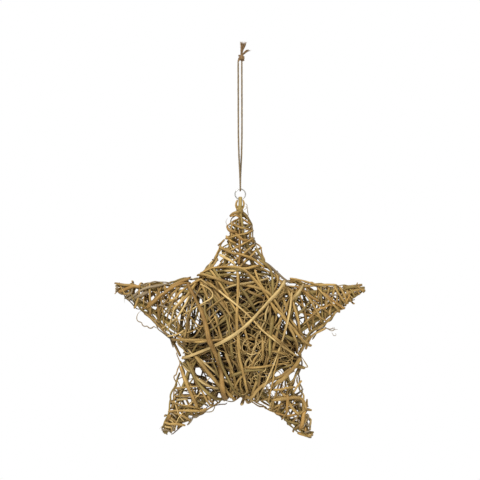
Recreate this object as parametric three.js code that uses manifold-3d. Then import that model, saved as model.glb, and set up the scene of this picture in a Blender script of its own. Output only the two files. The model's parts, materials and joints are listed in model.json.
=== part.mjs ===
// A hanging star ornament, wound by hand from dry vines over two star frames of thicker rods,
// with a steel ring and a loop of jute twine at its top.
// Millimetres, +Z up. The star faces -Y, and the origin is the hanging point, just under the knot.
import * as THREE from 'three';
import { mergeVertices } from 'three/addons/utils/BufferGeometryUtils.js';
import Module from 'manifold-3d';

const wasm = await Module();
wasm.setup();

// Free space between pieces that touch, and the number of sides of each kind of section.
const TOUCH_GAP = 0.3;
const VINE_SIDES = 4;
const ROD_SIDES = 5;
const CORD_SIDES = 8;

// The star: its centre, and for each arm the direction it points in, counted from +X, its
// reach, half the width of its tip and how fast it widens: 1 is straight, more keeps it slim.
const STAR_CENTRE_X = -0.5;
const STAR_DROP = 270;
const ARMS = [
  { name: 'top', angle: 90.5, reach: 120, tip: 10.5, flare: 1.9 },
  { name: 'right', angle: 19, reach: 132.7, tip: 3.5, flare: 1.25 },
  { name: 'lower_right', angle: -56.2, reach: 129, tip: 5, flare: 1.7 },
  { name: 'lower_left', angle: -125.9, reach: 128, tip: 5, flare: 1.45 },
  { name: 'left', angle: 160.3, reach: 133.5, tip: 4, flare: 1.4 },
];

// The valleys between the arms: their direction and their distance from the centre.
const VALLEYS = [
  { angle: 49, reach: 60 },
  { angle: 125, reach: 65 },
  { angle: 200, reach: 62 },
  { angle: 270, reach: 66 },
  { angle: -22, reach: 66 },
];
const PLAIN_VALLEY_REACH = 66;

// Half widths and half thicknesses of the finished star, to the outside of the last vine.
const ROOT_HALF_WIDTH = 39;
const ROOT_REACH = 53.4;
const TIP_HALF_DEPTH = 7;
const ROOT_HALF_DEPTH = 22;
const BODY_BASE_DEPTH = 14;
const DEPTH_POWER = 1.3;
const RIM_POWER = 2.4;
const OUTLINE_PRECISION = 1e-7;
const ARM_WINDING_INSET = 5.6;
const FIRST_BODY_INSET = 14;
const LAST_BODY_INSET = 8;

// The frame rods: each runs from one tip to the next but one, once in front and once behind.
const ROD_DIAMETER = 3.8;
const ROD_BULGE = 7;
const ROD_BOW = 6;
const ROD_STEPS = 6;
const ROD_START_GAP = 2.5;
const ROD_END_GAP = 9;
const BACK_ROD_GAP = 4;

// The inner tangle that fills the middle of the body.
const CORE_DIAMETER = 3.4;
const CORE_REACH = 36;
const CORE_HALF_DEPTH = 5;
const CORE_VINES = [
  { turns: [80, 250, 20, 190, 320], bow: 6 },
  { turns: [150, 330, 100, 290, 45], bow: -5 },
];

// The vines wound round each arm.
const ARM_VINES = [
  { diameter: 2.8, turns: 4.5, start: 0.92, end: 0.52, phase: 0, hand: 1, lean: 0.75 },
  { diameter: 2.6, turns: 4, start: 0.88, end: 0.5, phase: 0.5, hand: -1, lean: -0.85 },
];
const ARM_STEPS_PER_TURN = 6;

// How far sideways one unit of bow moves the middle of a run.
const BOW_UNIT = 1;

// The vines wound over the body, from the first laid to the last. Each entry gives the edge
// directions that the vine runs between, front first and then back, and how far each run bows.
const BODY_VINES = [
  { diameter: 3, turns: [118, 276, 45, 196, 262], bows: [8, 5, 8, -6] },
  { diameter: 3.2, turns: [113, 262, 335, 120, 205], bows: [3, -6, 10, 4] },
  { diameter: 2.8, turns: [190, 345, 130, 56, 278], bows: [6, 5, 8, -6] },
  { diameter: 3, turns: [60, 342, 208, 250, 40], bows: [-4, -6, -5, 8] },
  { diameter: 3, turns: [133, 190, 38, 344, 282], bows: [4, 5, 2, -4] },
  { diameter: 3, turns: [283, 331, 113, 350, 192], bows: [0, 8, -8, 5] },
  { diameter: 2.6, turns: [36, 284, 138, 198, 330], bows: [-2, -7, -4, 6] },
  { diameter: 2.8, turns: [122, 62, 211, 52, 258], bows: [10, 6, 10, -5] },
  { diameter: 3.2, turns: [196, 266, 116, 280, 348], bows: [-8, -4, 14, 6] },
  { diameter: 2.8, turns: [41, 279, 187, 335, 120], bows: [5, -7, 5, -5] },
  { diameter: 2.8, turns: [124, 336, 213, 250, 58], bows: [2, 5, -3, 7] },
  { diameter: 3, turns: [47, 348, 128, 268, 326], bows: [1, 6, 2, -6] },
  { diameter: 3.2, turns: [127, 340, 275, 330, 135], bows: [28, 5, -2, 6] },
  { diameter: 3.3, turns: [205, 48, 272], bows: [-10, 6] },
  { diameter: 4.5, turns: [137, 258.5, 55], bows: [4, -6] },
];
const RUN_STEPS = 10;

// The steel ring at the top, face on.
const RING_DIAMETER = 11.6;
const RING_WIRE = 1.2;
const RING_X = 0.3;
const RING_DROP = 133.2;
const RING_STEPS = 20;

// The eye of split vine that holds the ring: a strap over the lower side of the ring.
const EYE_WIDTH = 4.2;
const EYE_THICKNESS = 1.6;
const EYE_LEG_LENGTH = 24;
const EYE_STEPS = 8;

// The twine: down from the knot, through the ring from front to back, and up again.
const TWINE_DIAMETER = 1.8;
const LONGEST_TWINE_STEP = 5.4;
const TWINE_POINTS = [
  [-1.8, 0, -0.3],
  [-1.75, 0, -20],
  [-1.7, 0, -40],
  [-1.66, 0, -60],
  [-1.59, -0.35, -75],
  [-1.23, -1.09, -90],
  [-0.75, -1.51, -100],
  [-0.23, -1.73, -110],
  [0.17, -1.8, -120],
  [0.3, -1.8, -128],
  [0.3, -1.27, -129.27],
  [0.3, 0, -129.8],
  [0.3, 1.27, -129.27],
  [0.3, 1.8, -128],
  [0.39, 1.8, -120],
  [0.74, 1.73, -110],
  [1.22, 1.51, -100],
  [1.65, 1.09, -90],
  [1.94, 0.35, -75],
  [1.94, 0, -60],
  [1.9, 0, -40],
  [1.85, 0, -20],
  [1.8, 0, -0.3],
];

// The knot that closes the twine, and its two tails, as places across and above its foot.
const KNOT_WIDTH = 5.4;
const KNOT_HEIGHT = 7.5;
const KNOT_DEPTH = 4.6;
const TAIL_DIAMETER = 1.6;
const TAILS = [
  [[0.5, 4], [0.6, 10], [2.2, 15.5], [3.6, 19]],
  [[1, 3.5], [4.2, 7.5], [7.4, 9], [9.6, 11]],
];

const radians = THREE.MathUtils.degToRad;
const starCentre = new THREE.Vector3(STAR_CENTRE_X, 0, -STAR_DROP);
const FRONT = -1;
const BACK = 1;

const looks = {
  rod: { color: 0x8f7048, roughness: 0.8, metalness: 0 },
  vine: { color: 0x9a7b4e, roughness: 0.85, metalness: 0 },
  core: { color: 0x5f4626, roughness: 0.9, metalness: 0 },
  steel: { color: 0xb8b6b0, roughness: 0.3, metalness: 1 },
  twine: { color: 0xa59880, roughness: 0.95, metalness: 0 },
};

const ornament = new THREE.Group();

function addPiece(name, geometry, look) {
  const mesh = new THREE.Mesh(geometry, new THREE.MeshStandardMaterial(looks[look]));
  mesh.name = name;
  ornament.add(mesh);
  return mesh;
}

// A path that a section follows from corner to corner, as a stiff vine runs.
class CornerPath extends THREE.Curve {
  constructor(points) {
    super();
    this.points = points;
  }

  getPoint(t) {
    const place = t * (this.points.length - 1);
    const index = Math.min(Math.floor(place), this.points.length - 2);
    return this.points[index].clone().lerp(this.points[index + 1], place - index);
  }

  getPointAt(t) {
    return this.getPoint(t);
  }

  getTangentAt(t) {
    const last = this.points.length - 1;
    const index = Math.round(t * last);
    const before = this.points[Math.max(index - 1, 0)];
    const here = this.points[index];
    const after = this.points[Math.min(index + 1, last)];
    const arriving = here.clone().sub(before).normalize();
    const leaving = after.clone().sub(here).normalize();
    return arriving.add(leaving).normalize();
  }
}

function roundSection(diameter, sides) {
  const corners = [];
  for (let side = 0; side < sides; side += 1) {
    const angle = (2 * Math.PI * side) / sides;
    corners.push(new THREE.Vector2(Math.cos(angle), Math.sin(angle)).multiplyScalar(diameter / 2));
  }
  return new THREE.Shape(corners);
}

function sweep(section, points) {
  return new THREE.ExtrudeGeometry(section, {
    steps: points.length - 1,
    extrudePath: new CornerPath(points),
  });
}

function tube(points, diameter, sides) {
  return sweep(roundSection(diameter, sides), points);
}

// Closest points of two straight stretches: how far along the first, and the vector between them.
function closestApproach(a, b, c, d) {
  const first = b.clone().sub(a);
  const second = d.clone().sub(c);
  const apart = a.clone().sub(c);
  const firstSquared = first.dot(first);
  const secondSquared = second.dot(second);
  const across = first.dot(second);
  const firstApart = first.dot(apart);
  const secondApart = second.dot(apart);
  const spread = firstSquared * secondSquared - across * across;
  let s = 0.5;
  if (spread > Number.EPSILON * firstSquared * secondSquared) {
    s = THREE.MathUtils.clamp((across * secondApart - firstApart * secondSquared) / spread, 0, 1);
  }
  let t = (across * s + secondApart) / secondSquared;
  if (t < 0 || t > 1) {
    t = THREE.MathUtils.clamp(t, 0, 1);
    s = THREE.MathUtils.clamp((across * t - firstApart) / firstSquared, 0, 1);
  }
  const between = apart.add(first.multiplyScalar(s)).sub(second.multiplyScalar(t));
  return { s, between };
}

// Everything laid so far, as straight stretches with a radius. A new vine is lifted outwards
// until it rests on them and on its own earlier turns.
const laid = [];
const LIFT_PACE = 0.4;
const LIFT_MARGIN = 0.02;
const FINEST_STEP = 0.2;
const layPasses = 120;
const tighteningRounds = 4;
const ownStretchesSkipped = 3;

function stretchAt(points, index, radius) {
  const start = points[index];
  const end = points[index + 1];
  const middle = start.clone().lerp(end, 0.5);
  return { start, end, radius, middle, half: start.distanceTo(end) / 2 };
}

function remember(points, radius) {
  for (let index = 0; index + 1 < points.length; index += 1) {
    laid.push(stretchAt(points, index, radius));
  }
}

// Raises the two corners of a stretch until it lies clear of another stretch.
function liftOver(stretch, other, points, outward, lifts, index, radius) {
  const room = radius + other.radius + TOUCH_GAP;
  if (stretch.middle.distanceTo(other.middle) > stretch.half + other.half + room) {
    return false;
  }
  const { s, between } = closestApproach(points[index], points[index + 1], other.start, other.end);
  if (between.length() >= room) {
    return false;
  }
  const direction = outward[index].clone().lerp(outward[index + 1], s).normalize();
  const height = between.dot(direction);
  const aside = Math.max(between.lengthSq() - height * height, 0);
  const lift = Math.sqrt(room * room - aside) - height + LIFT_MARGIN;
  const share = (1 - s) * (1 - s) + s * s;
  lifts[index] = Math.max(lifts[index], (lift * (1 - s)) / share);
  lifts[index + 1] = Math.max(lifts[index + 1], (lift * s) / share);
  return true;
}

function isClear(points, index, radius) {
  const stretch = stretchAt(points, index, radius);
  const own = [];
  for (let other = 0; other + 1 < points.length; other += 1) {
    if (Math.abs(other - index) >= ownStretchesSkipped) {
      own.push(stretchAt(points, other, radius));
    }
  }
  for (const other of [...laid, ...own]) {
    const room = radius + other.radius + TOUCH_GAP;
    if (stretch.middle.distanceTo(other.middle) <= stretch.half + other.half + room) {
      const { between } = closestApproach(stretch.start, stretch.end, other.start, other.end);
      if (between.length() < room) {
        return false;
      }
    }
  }
  return true;
}

// Pulls a lifted vine tight again: each corner sinks back as far as it can without touching.
function pullTight(points, outward, heights, radius) {
  for (let round = 0; round < tighteningRounds; round += 1) {
    for (let index = 0; index < points.length; index += 1) {
      for (let step = heights[index]; step > FINEST_STEP; step /= 2) {
        points[index].addScaledVector(outward[index], -step);
        const before = index === 0 || isClear(points, index - 1, radius);
        const after = index + 1 === points.length || isClear(points, index, radius);
        if (before && after) {
          heights[index] -= step;
          break;
        }
        points[index].addScaledVector(outward[index], step);
      }
    }
  }
}

// Lays a vine given by its resting points and the outward direction at each.
function layVine(route, diameter) {
  const radius = diameter / 2;
  const points = route.map((entry) => entry.point.clone());
  const outward = route.map((entry) => entry.outward);
  const heights = points.map(() => 0);
  for (let pass = 0; pass < layPasses; pass += 1) {
    const lifts = points.map(() => 0);
    const pace = pass < layPasses / 2 ? LIFT_PACE : 1;
    let moved = false;
    for (let index = 0; index + 1 < points.length; index += 1) {
      const stretch = stretchAt(points, index, radius);
      for (const other of laid) {
        moved = liftOver(stretch, other, points, outward, lifts, index, radius) || moved;
      }
      for (let earlier = 0; earlier <= index - ownStretchesSkipped; earlier += 1) {
        const own = stretchAt(points, earlier, radius);
        moved = liftOver(stretch, own, points, outward, lifts, index, radius) || moved;
      }
    }
    if (!moved) {
      break;
    }
    points.forEach((point, index) => {
      point.addScaledVector(outward[index], pace * lifts[index]);
      heights[index] += pace * lifts[index];
    });
  }
  pullTight(points, outward, heights, radius);
  remember(points, radius);
  return points;
}

function pointAt(angle, distance, y) {
  const turn = radians(angle);
  return new THREE.Vector3(Math.cos(turn) * distance, y, Math.sin(turn) * distance).add(starCentre);
}

function turnBetween(from, to) {
  return THREE.MathUtils.euclideanModulo(to - from + 180, 360) - 180;
}

function nearest(list, angle) {
  return list.reduce((best, entry) => {
    const closer = Math.abs(turnBetween(entry.angle, angle)) < Math.abs(turnBetween(best.angle, angle));
    return closer ? entry : best;
  });
}

// Half width of an arm at a distance from the star's centre.
function armHalfWidth(arm, distance) {
  const left = Math.max(arm.reach - distance, 0) / (arm.reach - ROOT_REACH);
  return arm.tip + (ROOT_HALF_WIDTH - arm.tip) * left ** arm.flare;
}

function armHalfDepth(arm, distance) {
  const share = Math.min(distance / arm.reach, 1);
  return TIP_HALF_DEPTH + (ROOT_HALF_DEPTH - TIP_HALF_DEPTH) * (1 - share ** DEPTH_POWER);
}

// Distance from the centre to the star's outline in a direction.
function edgeReach(angle) {
  const arm = nearest(ARMS, angle);
  const valley = nearest(VALLEYS, angle);
  const aside = Math.abs(radians(turnBetween(arm.angle, angle)));
  let inside = ROOT_REACH / 2;
  let outside = arm.reach;
  while (outside - inside > OUTLINE_PRECISION) {
    const middle = (inside + outside) / 2;
    const within = middle * Math.sin(aside) < armHalfWidth(arm, middle * Math.cos(aside));
    if (within) {
      inside = middle;
    } else {
      outside = middle;
    }
  }
  return (inside * valley.reach) / PLAIN_VALLEY_REACH;
}

// A point of a run over the body, between two edge directions, in front or behind.
function bodyPoint(from, to, share, bow, side, reachOf, halfDepth) {
  const start = pointAt(from, reachOf(from), 0);
  const end = pointAt(to, reachOf(to), 0);
  const along = end.clone().sub(start);
  const across = new THREE.Vector3(-along.z, 0, along.x).normalize();
  const point = start.addScaledVector(along, share);
  point.addScaledVector(across, BOW_UNIT * bow * 4 * share * (1 - share));
  const out = point.clone().sub(starCentre);
  const angle = THREE.MathUtils.radToDeg(Math.atan2(out.z, out.x));
  const rim = reachOf(angle);
  const full = Math.min(out.length() / rim, 1);
  point.y = side * halfDepth * Math.sqrt(1 - full ** RIM_POWER);
  const outward = new THREE.Vector3(out.x / rim ** 2, point.y / halfDepth ** 2, out.z / rim ** 2);
  return { point, outward: outward.normalize() };
}

function bodyRoute(turns, bows, reachOf, halfDepth) {
  const route = [];
  for (let run = 0; run + 1 < turns.length; run += 1) {
    const side = run % 2 === 0 ? FRONT : BACK;
    const first = run === 0 ? 0 : 1;
    for (let step = first; step <= RUN_STEPS; step += 1) {
      const share = (1 - Math.cos((Math.PI * step) / RUN_STEPS)) / 2;
      route.push(bodyPoint(turns[run], turns[run + 1], share, bows[run], side, reachOf, halfDepth));
    }
  }
  return route;
}

// The rods cross the tips two beside each other, in two layers.
const rodPitch = (ROD_DIAMETER + TOUCH_GAP) / 2;
const rodBundleRadius = rodPitch + ROD_DIAMETER / 2 + TOUCH_GAP;

function addFrameRods() {
  for (const side of [FRONT, BACK]) {
    ARMS.forEach((arm, index) => {
      const far = ARMS[(index + 2) % ARMS.length];
      const shorter = side === BACK ? BACK_ROD_GAP : 0;
      const start = pointAt(arm.angle, arm.reach - ROD_START_GAP - shorter, 0);
      const end = pointAt(far.angle, far.reach - ROD_END_GAP - shorter, 0);
      start.add(pointAt(arm.angle - 90, rodPitch, 0).sub(starCentre));
      end.add(pointAt(far.angle + 90, rodPitch, 0).sub(starCentre));
      const inward = starCentre.clone().sub(start.clone().lerp(end, 0.5)).normalize();
      const route = [];
      for (let step = 0; step <= ROD_STEPS; step += 1) {
        const share = step / ROD_STEPS;
        const point = start.clone().lerp(end, share);
        point.addScaledVector(inward, ROD_BOW * Math.sin(Math.PI * share));
        point.y = side * (rodPitch + ROD_BULGE * Math.sin(Math.PI * share));
        route.push({ point, outward: new THREE.Vector3(0, side, 0) });
      }
      const place = side === FRONT ? 'front' : 'back';
      const points = layVine(route, ROD_DIAMETER);
      addPiece(`${place}_frame_rod_${index + 1}`, tube(points, ROD_DIAMETER, ROD_SIDES), 'rod');
    });
  }
}

function addCore() {
  CORE_VINES.forEach((vine, index) => {
    const bows = vine.turns.map(() => vine.bow);
    const route = bodyRoute(vine.turns, bows, () => CORE_REACH, CORE_HALF_DEPTH);
    const points = layVine(route, CORE_DIAMETER);
    addPiece(`inner_vine_${index + 1}`, tube(points, CORE_DIAMETER, VINE_SIDES), 'core');
  });
}

function armRoute(arm, vine) {
  const route = [];
  const steps = Math.round(vine.turns * ARM_STEPS_PER_TURN);
  const along = pointAt(arm.angle, 1, 0).sub(starCentre);
  const across = pointAt(arm.angle + 90, 1, 0).sub(starCentre);
  const halfStep = Math.PI / ARM_STEPS_PER_TURN;
  const tightest = (rodBundleRadius + vine.diameter / 2) / Math.cos(halfStep);
  for (let step = 0; step <= steps; step += 1) {
    const share = step / steps;
    const turn = 2 * Math.PI * (vine.phase + vine.hand * vine.turns * share) + halfStep;
    const place = arm.reach * THREE.MathUtils.lerp(vine.start, vine.end, share);
    const slant = vine.lean * (armHalfWidth(arm, place) - ARM_WINDING_INSET) * Math.cos(turn);
    const distance = Math.min(place + slant, vine.start * arm.reach);
    const halfWidth = Math.max(armHalfWidth(arm, distance) - ARM_WINDING_INSET, tightest);
    const halfDepth = Math.max(armHalfDepth(arm, distance) - ARM_WINDING_INSET, tightest);
    const point = starCentre.clone().addScaledVector(along, distance);
    point.addScaledVector(across, halfWidth * Math.cos(turn));
    point.y = halfDepth * Math.sin(turn);
    const outward = across.clone().multiplyScalar(Math.cos(turn) / halfWidth);
    outward.y = Math.sin(turn) / halfDepth;
    route.push({ point, outward: outward.normalize() });
  }
  return route;
}

function addArmVines() {
  for (const arm of ARMS) {
    ARM_VINES.forEach((vine, index) => {
      const points = layVine(armRoute(arm, vine), vine.diameter);
      addPiece(`${arm.name}_arm_vine_${index + 1}`, tube(points, vine.diameter, VINE_SIDES), 'vine');
    });
  }
}

function addBodyVines() {
  BODY_VINES.forEach((vine, index) => {
    const share = index / (BODY_VINES.length - 1);
    const inset = THREE.MathUtils.lerp(FIRST_BODY_INSET, LAST_BODY_INSET, share);
    const reachOf = (angle) => edgeReach(angle) - inset;
    const points = layVine(bodyRoute(vine.turns, vine.bows, reachOf, BODY_BASE_DEPTH), vine.diameter);
    addPiece(`body_vine_${index + 1}`, tube(points, vine.diameter, VINE_SIDES), 'vine');
  });
}

// The eye: a flat strap of split vine that stands on the top arm and passes through the ring.
function addEye() {
  const legY = rodBundleRadius + EYE_THICKNESS / 2;
  const ringRadius = (RING_DIAMETER - RING_WIRE) / 2;
  const ringBottom = -RING_DROP - ringRadius;
  const rise = ringRadius - Math.sqrt(ringRadius ** 2 - (EYE_WIDTH / 2) ** 2);
  const bend = RING_WIRE / 2 + TOUCH_GAP + EYE_THICKNESS / 2 + rise;
  const points = [];
  const legBottom = ringBottom - EYE_LEG_LENGTH;
  const shoulder = -STAR_DROP + ARMS[0].reach;
  points.push(new THREE.Vector3(RING_X, -legY, legBottom));
  points.push(new THREE.Vector3(RING_X, -legY, shoulder));
  for (let step = 0; step <= EYE_STEPS; step += 1) {
    const turn = (Math.PI * step) / EYE_STEPS;
    points.push(new THREE.Vector3(RING_X, -bend * Math.cos(turn), ringBottom + bend * Math.sin(turn)));
  }
  points.push(new THREE.Vector3(RING_X, legY, shoulder));
  points.push(new THREE.Vector3(RING_X, legY, legBottom));
  const strap = new THREE.Shape([
    new THREE.Vector2(-EYE_THICKNESS / 2, -EYE_WIDTH / 2),
    new THREE.Vector2(EYE_THICKNESS / 2, -EYE_WIDTH / 2),
    new THREE.Vector2(EYE_THICKNESS / 2, EYE_WIDTH / 2),
    new THREE.Vector2(-EYE_THICKNESS / 2, EYE_WIDTH / 2),
  ]);
  // For the vines laid later, the strap counts as two thin round stems side by side.
  for (const side of [-1, 1]) {
    const edge = points.map((point) => point.clone().setX(RING_X + (side * EYE_WIDTH) / 4));
    remember(edge, EYE_WIDTH / 4);
  }
  addPiece('hanging_eye', sweep(strap, points), 'vine');
}

function addRing() {
  const wireRadius = RING_WIRE / 2;
  const ring = new THREE.TorusGeometry(RING_DIAMETER / 2 - wireRadius, wireRadius, CORD_SIDES, RING_STEPS);
  ring.rotateX(Math.PI / 2);
  ring.translate(RING_X, 0, -RING_DROP);
  addPiece('metal_ring', ring, 'steel');
}

// Divides the long stretches of a route into equal steps.
function divided(points, longest) {
  const route = [points[0]];
  for (let index = 0; index + 1 < points.length; index += 1) {
    const count = Math.ceil(points[index].distanceTo(points[index + 1]) / longest);
    for (let step = 1; step <= count; step += 1) {
      route.push(points[index].clone().lerp(points[index + 1], step / count));
    }
  }
  return route;
}

function addTwine() {
  const points = TWINE_POINTS.map((place) => new THREE.Vector3(...place));
  const route = divided(points, LONGEST_TWINE_STEP);
  addPiece('twine_loop', tube(route, TWINE_DIAMETER, CORD_SIDES), 'twine');
}

function solidFrom(geometry) {
  const plain = geometry.clone();
  plain.deleteAttribute('normal');
  plain.deleteAttribute('uv');
  const merged = mergeVertices(plain);
  return new wasm.Manifold(
    new wasm.Mesh({
      numProp: 3,
      vertProperties: new Float32Array(merged.attributes.position.array),
      triVerts: new Uint32Array(merged.index.array),
    }),
  );
}

function geometryFrom(solid) {
  const mesh = solid.getMesh();
  const geometry = new THREE.BufferGeometry();
  geometry.setAttribute('position', new THREE.BufferAttribute(mesh.vertProperties, 3));
  geometry.setIndex(new THREE.BufferAttribute(mesh.triVerts, 1));
  geometry.computeVertexNormals();
  return geometry;
}

function addKnot() {
  const body = new THREE.SphereGeometry(0.5, CORD_SIDES, CORD_SIDES - 2);
  body.scale(KNOT_WIDTH, KNOT_DEPTH, KNOT_HEIGHT);
  body.translate(0, 0, KNOT_HEIGHT / 2);
  let knot = solidFrom(body);
  for (const tail of TAILS) {
    const points = tail.map(([x, z]) => new THREE.Vector3(x, 0, z));
    knot = knot.add(solidFrom(tube(points, TAIL_DIAMETER, CORD_SIDES - 2)));
  }
  addPiece('twine_knot', geometryFrom(knot), 'twine');
}

addRing();
addTwine();
addKnot();
addEye();
addFrameRods();
addCore();
addArmVines();
addBodyVines();

export default ornament;
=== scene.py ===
"""Dresses a hanging star ornament, wound by hand from dry vines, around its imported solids.

Lengths inside the classes are millimetres, counted from the star's centre, and turn into
metres only when a mesh is made.
"""

import json
import logging
import math
from dataclasses import dataclass, field
from enum import Enum

import bpy
import numpy as np
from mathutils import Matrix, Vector
from mathutils.kdtree import KDTree

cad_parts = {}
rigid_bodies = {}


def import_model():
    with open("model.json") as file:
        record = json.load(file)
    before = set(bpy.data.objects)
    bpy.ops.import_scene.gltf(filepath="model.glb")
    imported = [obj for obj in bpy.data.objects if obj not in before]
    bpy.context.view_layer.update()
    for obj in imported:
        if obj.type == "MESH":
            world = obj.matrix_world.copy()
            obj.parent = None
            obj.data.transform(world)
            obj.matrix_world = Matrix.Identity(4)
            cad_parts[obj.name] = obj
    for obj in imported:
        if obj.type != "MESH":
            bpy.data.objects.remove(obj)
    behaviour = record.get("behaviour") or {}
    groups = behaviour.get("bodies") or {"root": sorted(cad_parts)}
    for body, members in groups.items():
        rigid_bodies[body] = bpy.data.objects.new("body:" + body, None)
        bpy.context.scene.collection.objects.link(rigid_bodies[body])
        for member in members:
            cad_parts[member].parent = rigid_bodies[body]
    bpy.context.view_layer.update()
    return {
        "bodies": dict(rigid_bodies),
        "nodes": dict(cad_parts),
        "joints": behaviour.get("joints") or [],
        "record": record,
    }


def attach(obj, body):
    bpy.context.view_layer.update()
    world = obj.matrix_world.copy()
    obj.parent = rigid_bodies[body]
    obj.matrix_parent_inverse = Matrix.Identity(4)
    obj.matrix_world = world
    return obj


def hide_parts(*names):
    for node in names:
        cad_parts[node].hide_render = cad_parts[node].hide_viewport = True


log = logging.getLogger("star")

MM = 0.001
STAR_CENTRE = np.array([-0.5, 0.0, -270.0])
SEED = 20
FRONT = -1.0
BACK = 1.0
CORNER_CUT = 0.25
DEGREES = 361
ROUNDNESS = 2.4
BODY_RADIUS = 62.0
BODY_DEPTH = 22.0
HALF_SECTOR = math.pi / 5


class Slot(Enum):
    """Material slots of the record."""

    FRAME = "frame_vine"
    WINDING = "winding_vine"
    INNER = "inner_vine"
    STEEL = "steel_ring"
    JUTE = "jute_twine"


class Tone(Enum):
    """Colours of dry vine, as sRGB from 0 to 255."""

    TAN = (173, 142, 81)
    OLIVE = (146, 125, 68)
    ORANGE = (166, 130, 68)
    GREY = (148, 132, 104)
    PALE = (204, 177, 118)
    DARK = (98, 70, 32)
    JUTE = (122, 106, 80)
    KNOT = (132, 105, 72)


WINDING_TONES = (
    (Tone.TAN, 0.4),
    (Tone.OLIVE, 0.22),
    (Tone.ORANGE, 0.08),
    (Tone.GREY, 0.14),
    (Tone.PALE, 0.12),
    (Tone.DARK, 0.04),
)
# Tones of the layers inside the star: darker than the rest, as painted shade of its inside.
SHADED_INNER_TONES = ((Tone.DARK, 0.5), (Tone.OLIVE, 0.3), (Tone.TAN, 0.2))


def linear(colour: tuple[float, float, float]) -> tuple[float, float, float]:
    """Turns an sRGB colour from 0 to 255 into linear values from 0 to 1."""
    shares = np.array(colour) / 255.0
    low = shares / 12.92
    high = ((shares + 0.055) / 1.055) ** 2.4
    return tuple(float(value) for value in np.where(shares <= 0.04045, low, high))


def unit(vectors: np.ndarray) -> np.ndarray:
    """Scales each row to length one."""
    lengths = np.linalg.norm(vectors, axis=-1, keepdims=True)
    return vectors / np.maximum(lengths, 1e-9)


def rounded(points: np.ndarray, rounds: int = 3) -> np.ndarray:
    """Cuts the corners of a line again and again, and keeps its two ends.

    Args:
        points: The corners, one per row.
        rounds: How often the corners are cut.

    Returns:
        The smooth line.
    """
    line = np.asarray(points, float)
    for _ in range(rounds):
        near = (1 - CORNER_CUT) * line[:-1] + CORNER_CUT * line[1:]
        far = CORNER_CUT * line[:-1] + (1 - CORNER_CUT) * line[1:]
        cut = np.stack([near, far], axis=1).reshape(-1, 3)
        line = np.vstack([line[:1], cut, line[-1:]])
    return line


def along_line(line: np.ndarray) -> np.ndarray:
    """Length of a line from its start to each of its points."""
    return np.concatenate([[0.0], np.cumsum(np.linalg.norm(np.diff(line, axis=0), axis=1))])


def spaced(line: np.ndarray, step: float) -> np.ndarray:
    """Places points evenly along a line.

    Args:
        line: The points to follow.
        step: About how far apart the new points are.

    Returns:
        The new points, ends included.
    """
    along = along_line(line)
    count = max(int(round(along[-1] / step)), 3) + 1
    places = np.linspace(0.0, along[-1], count)
    return np.stack([np.interp(places, along, line[:, axis]) for axis in range(3)], axis=1)


def traced(
    run: tuple[tuple[float, float], ...], y: float, rounds: int, step: float
) -> np.ndarray:
    """Smooth line through places of the front view, all at one depth."""
    return spaced(rounded(np.array([(x, y, z) for x, z in run], float), rounds), step)


def arm_axes(angle: float) -> tuple[np.ndarray, np.ndarray]:
    """Directions along an arm and across it, from its angle in degrees."""
    turn = math.radians(angle)
    along = np.array([math.cos(turn), 0.0, math.sin(turn)])
    return along, np.array([-along[2], 0.0, along[0]])


def at_angle(rim: np.ndarray, angle: np.ndarray) -> np.ndarray:
    """Reads a table with one distance per degree in each direction."""
    return np.interp(np.mod(angle, 360.0), np.arange(DEGREES), rim)


def added(name: str, data: bpy.types.ID) -> bpy.types.Object:
    """Makes an object of its data and links it into the scene."""
    made = bpy.data.objects.new(name, data)
    bpy.context.scene.collection.objects.link(made)
    return made


@dataclass(frozen=True)
class Arm:
    """One arm: its direction in degrees, its reach, the half width of its tip and its flare."""

    name: str
    angle: float
    reach: float
    tip: float
    flare: float


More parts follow.
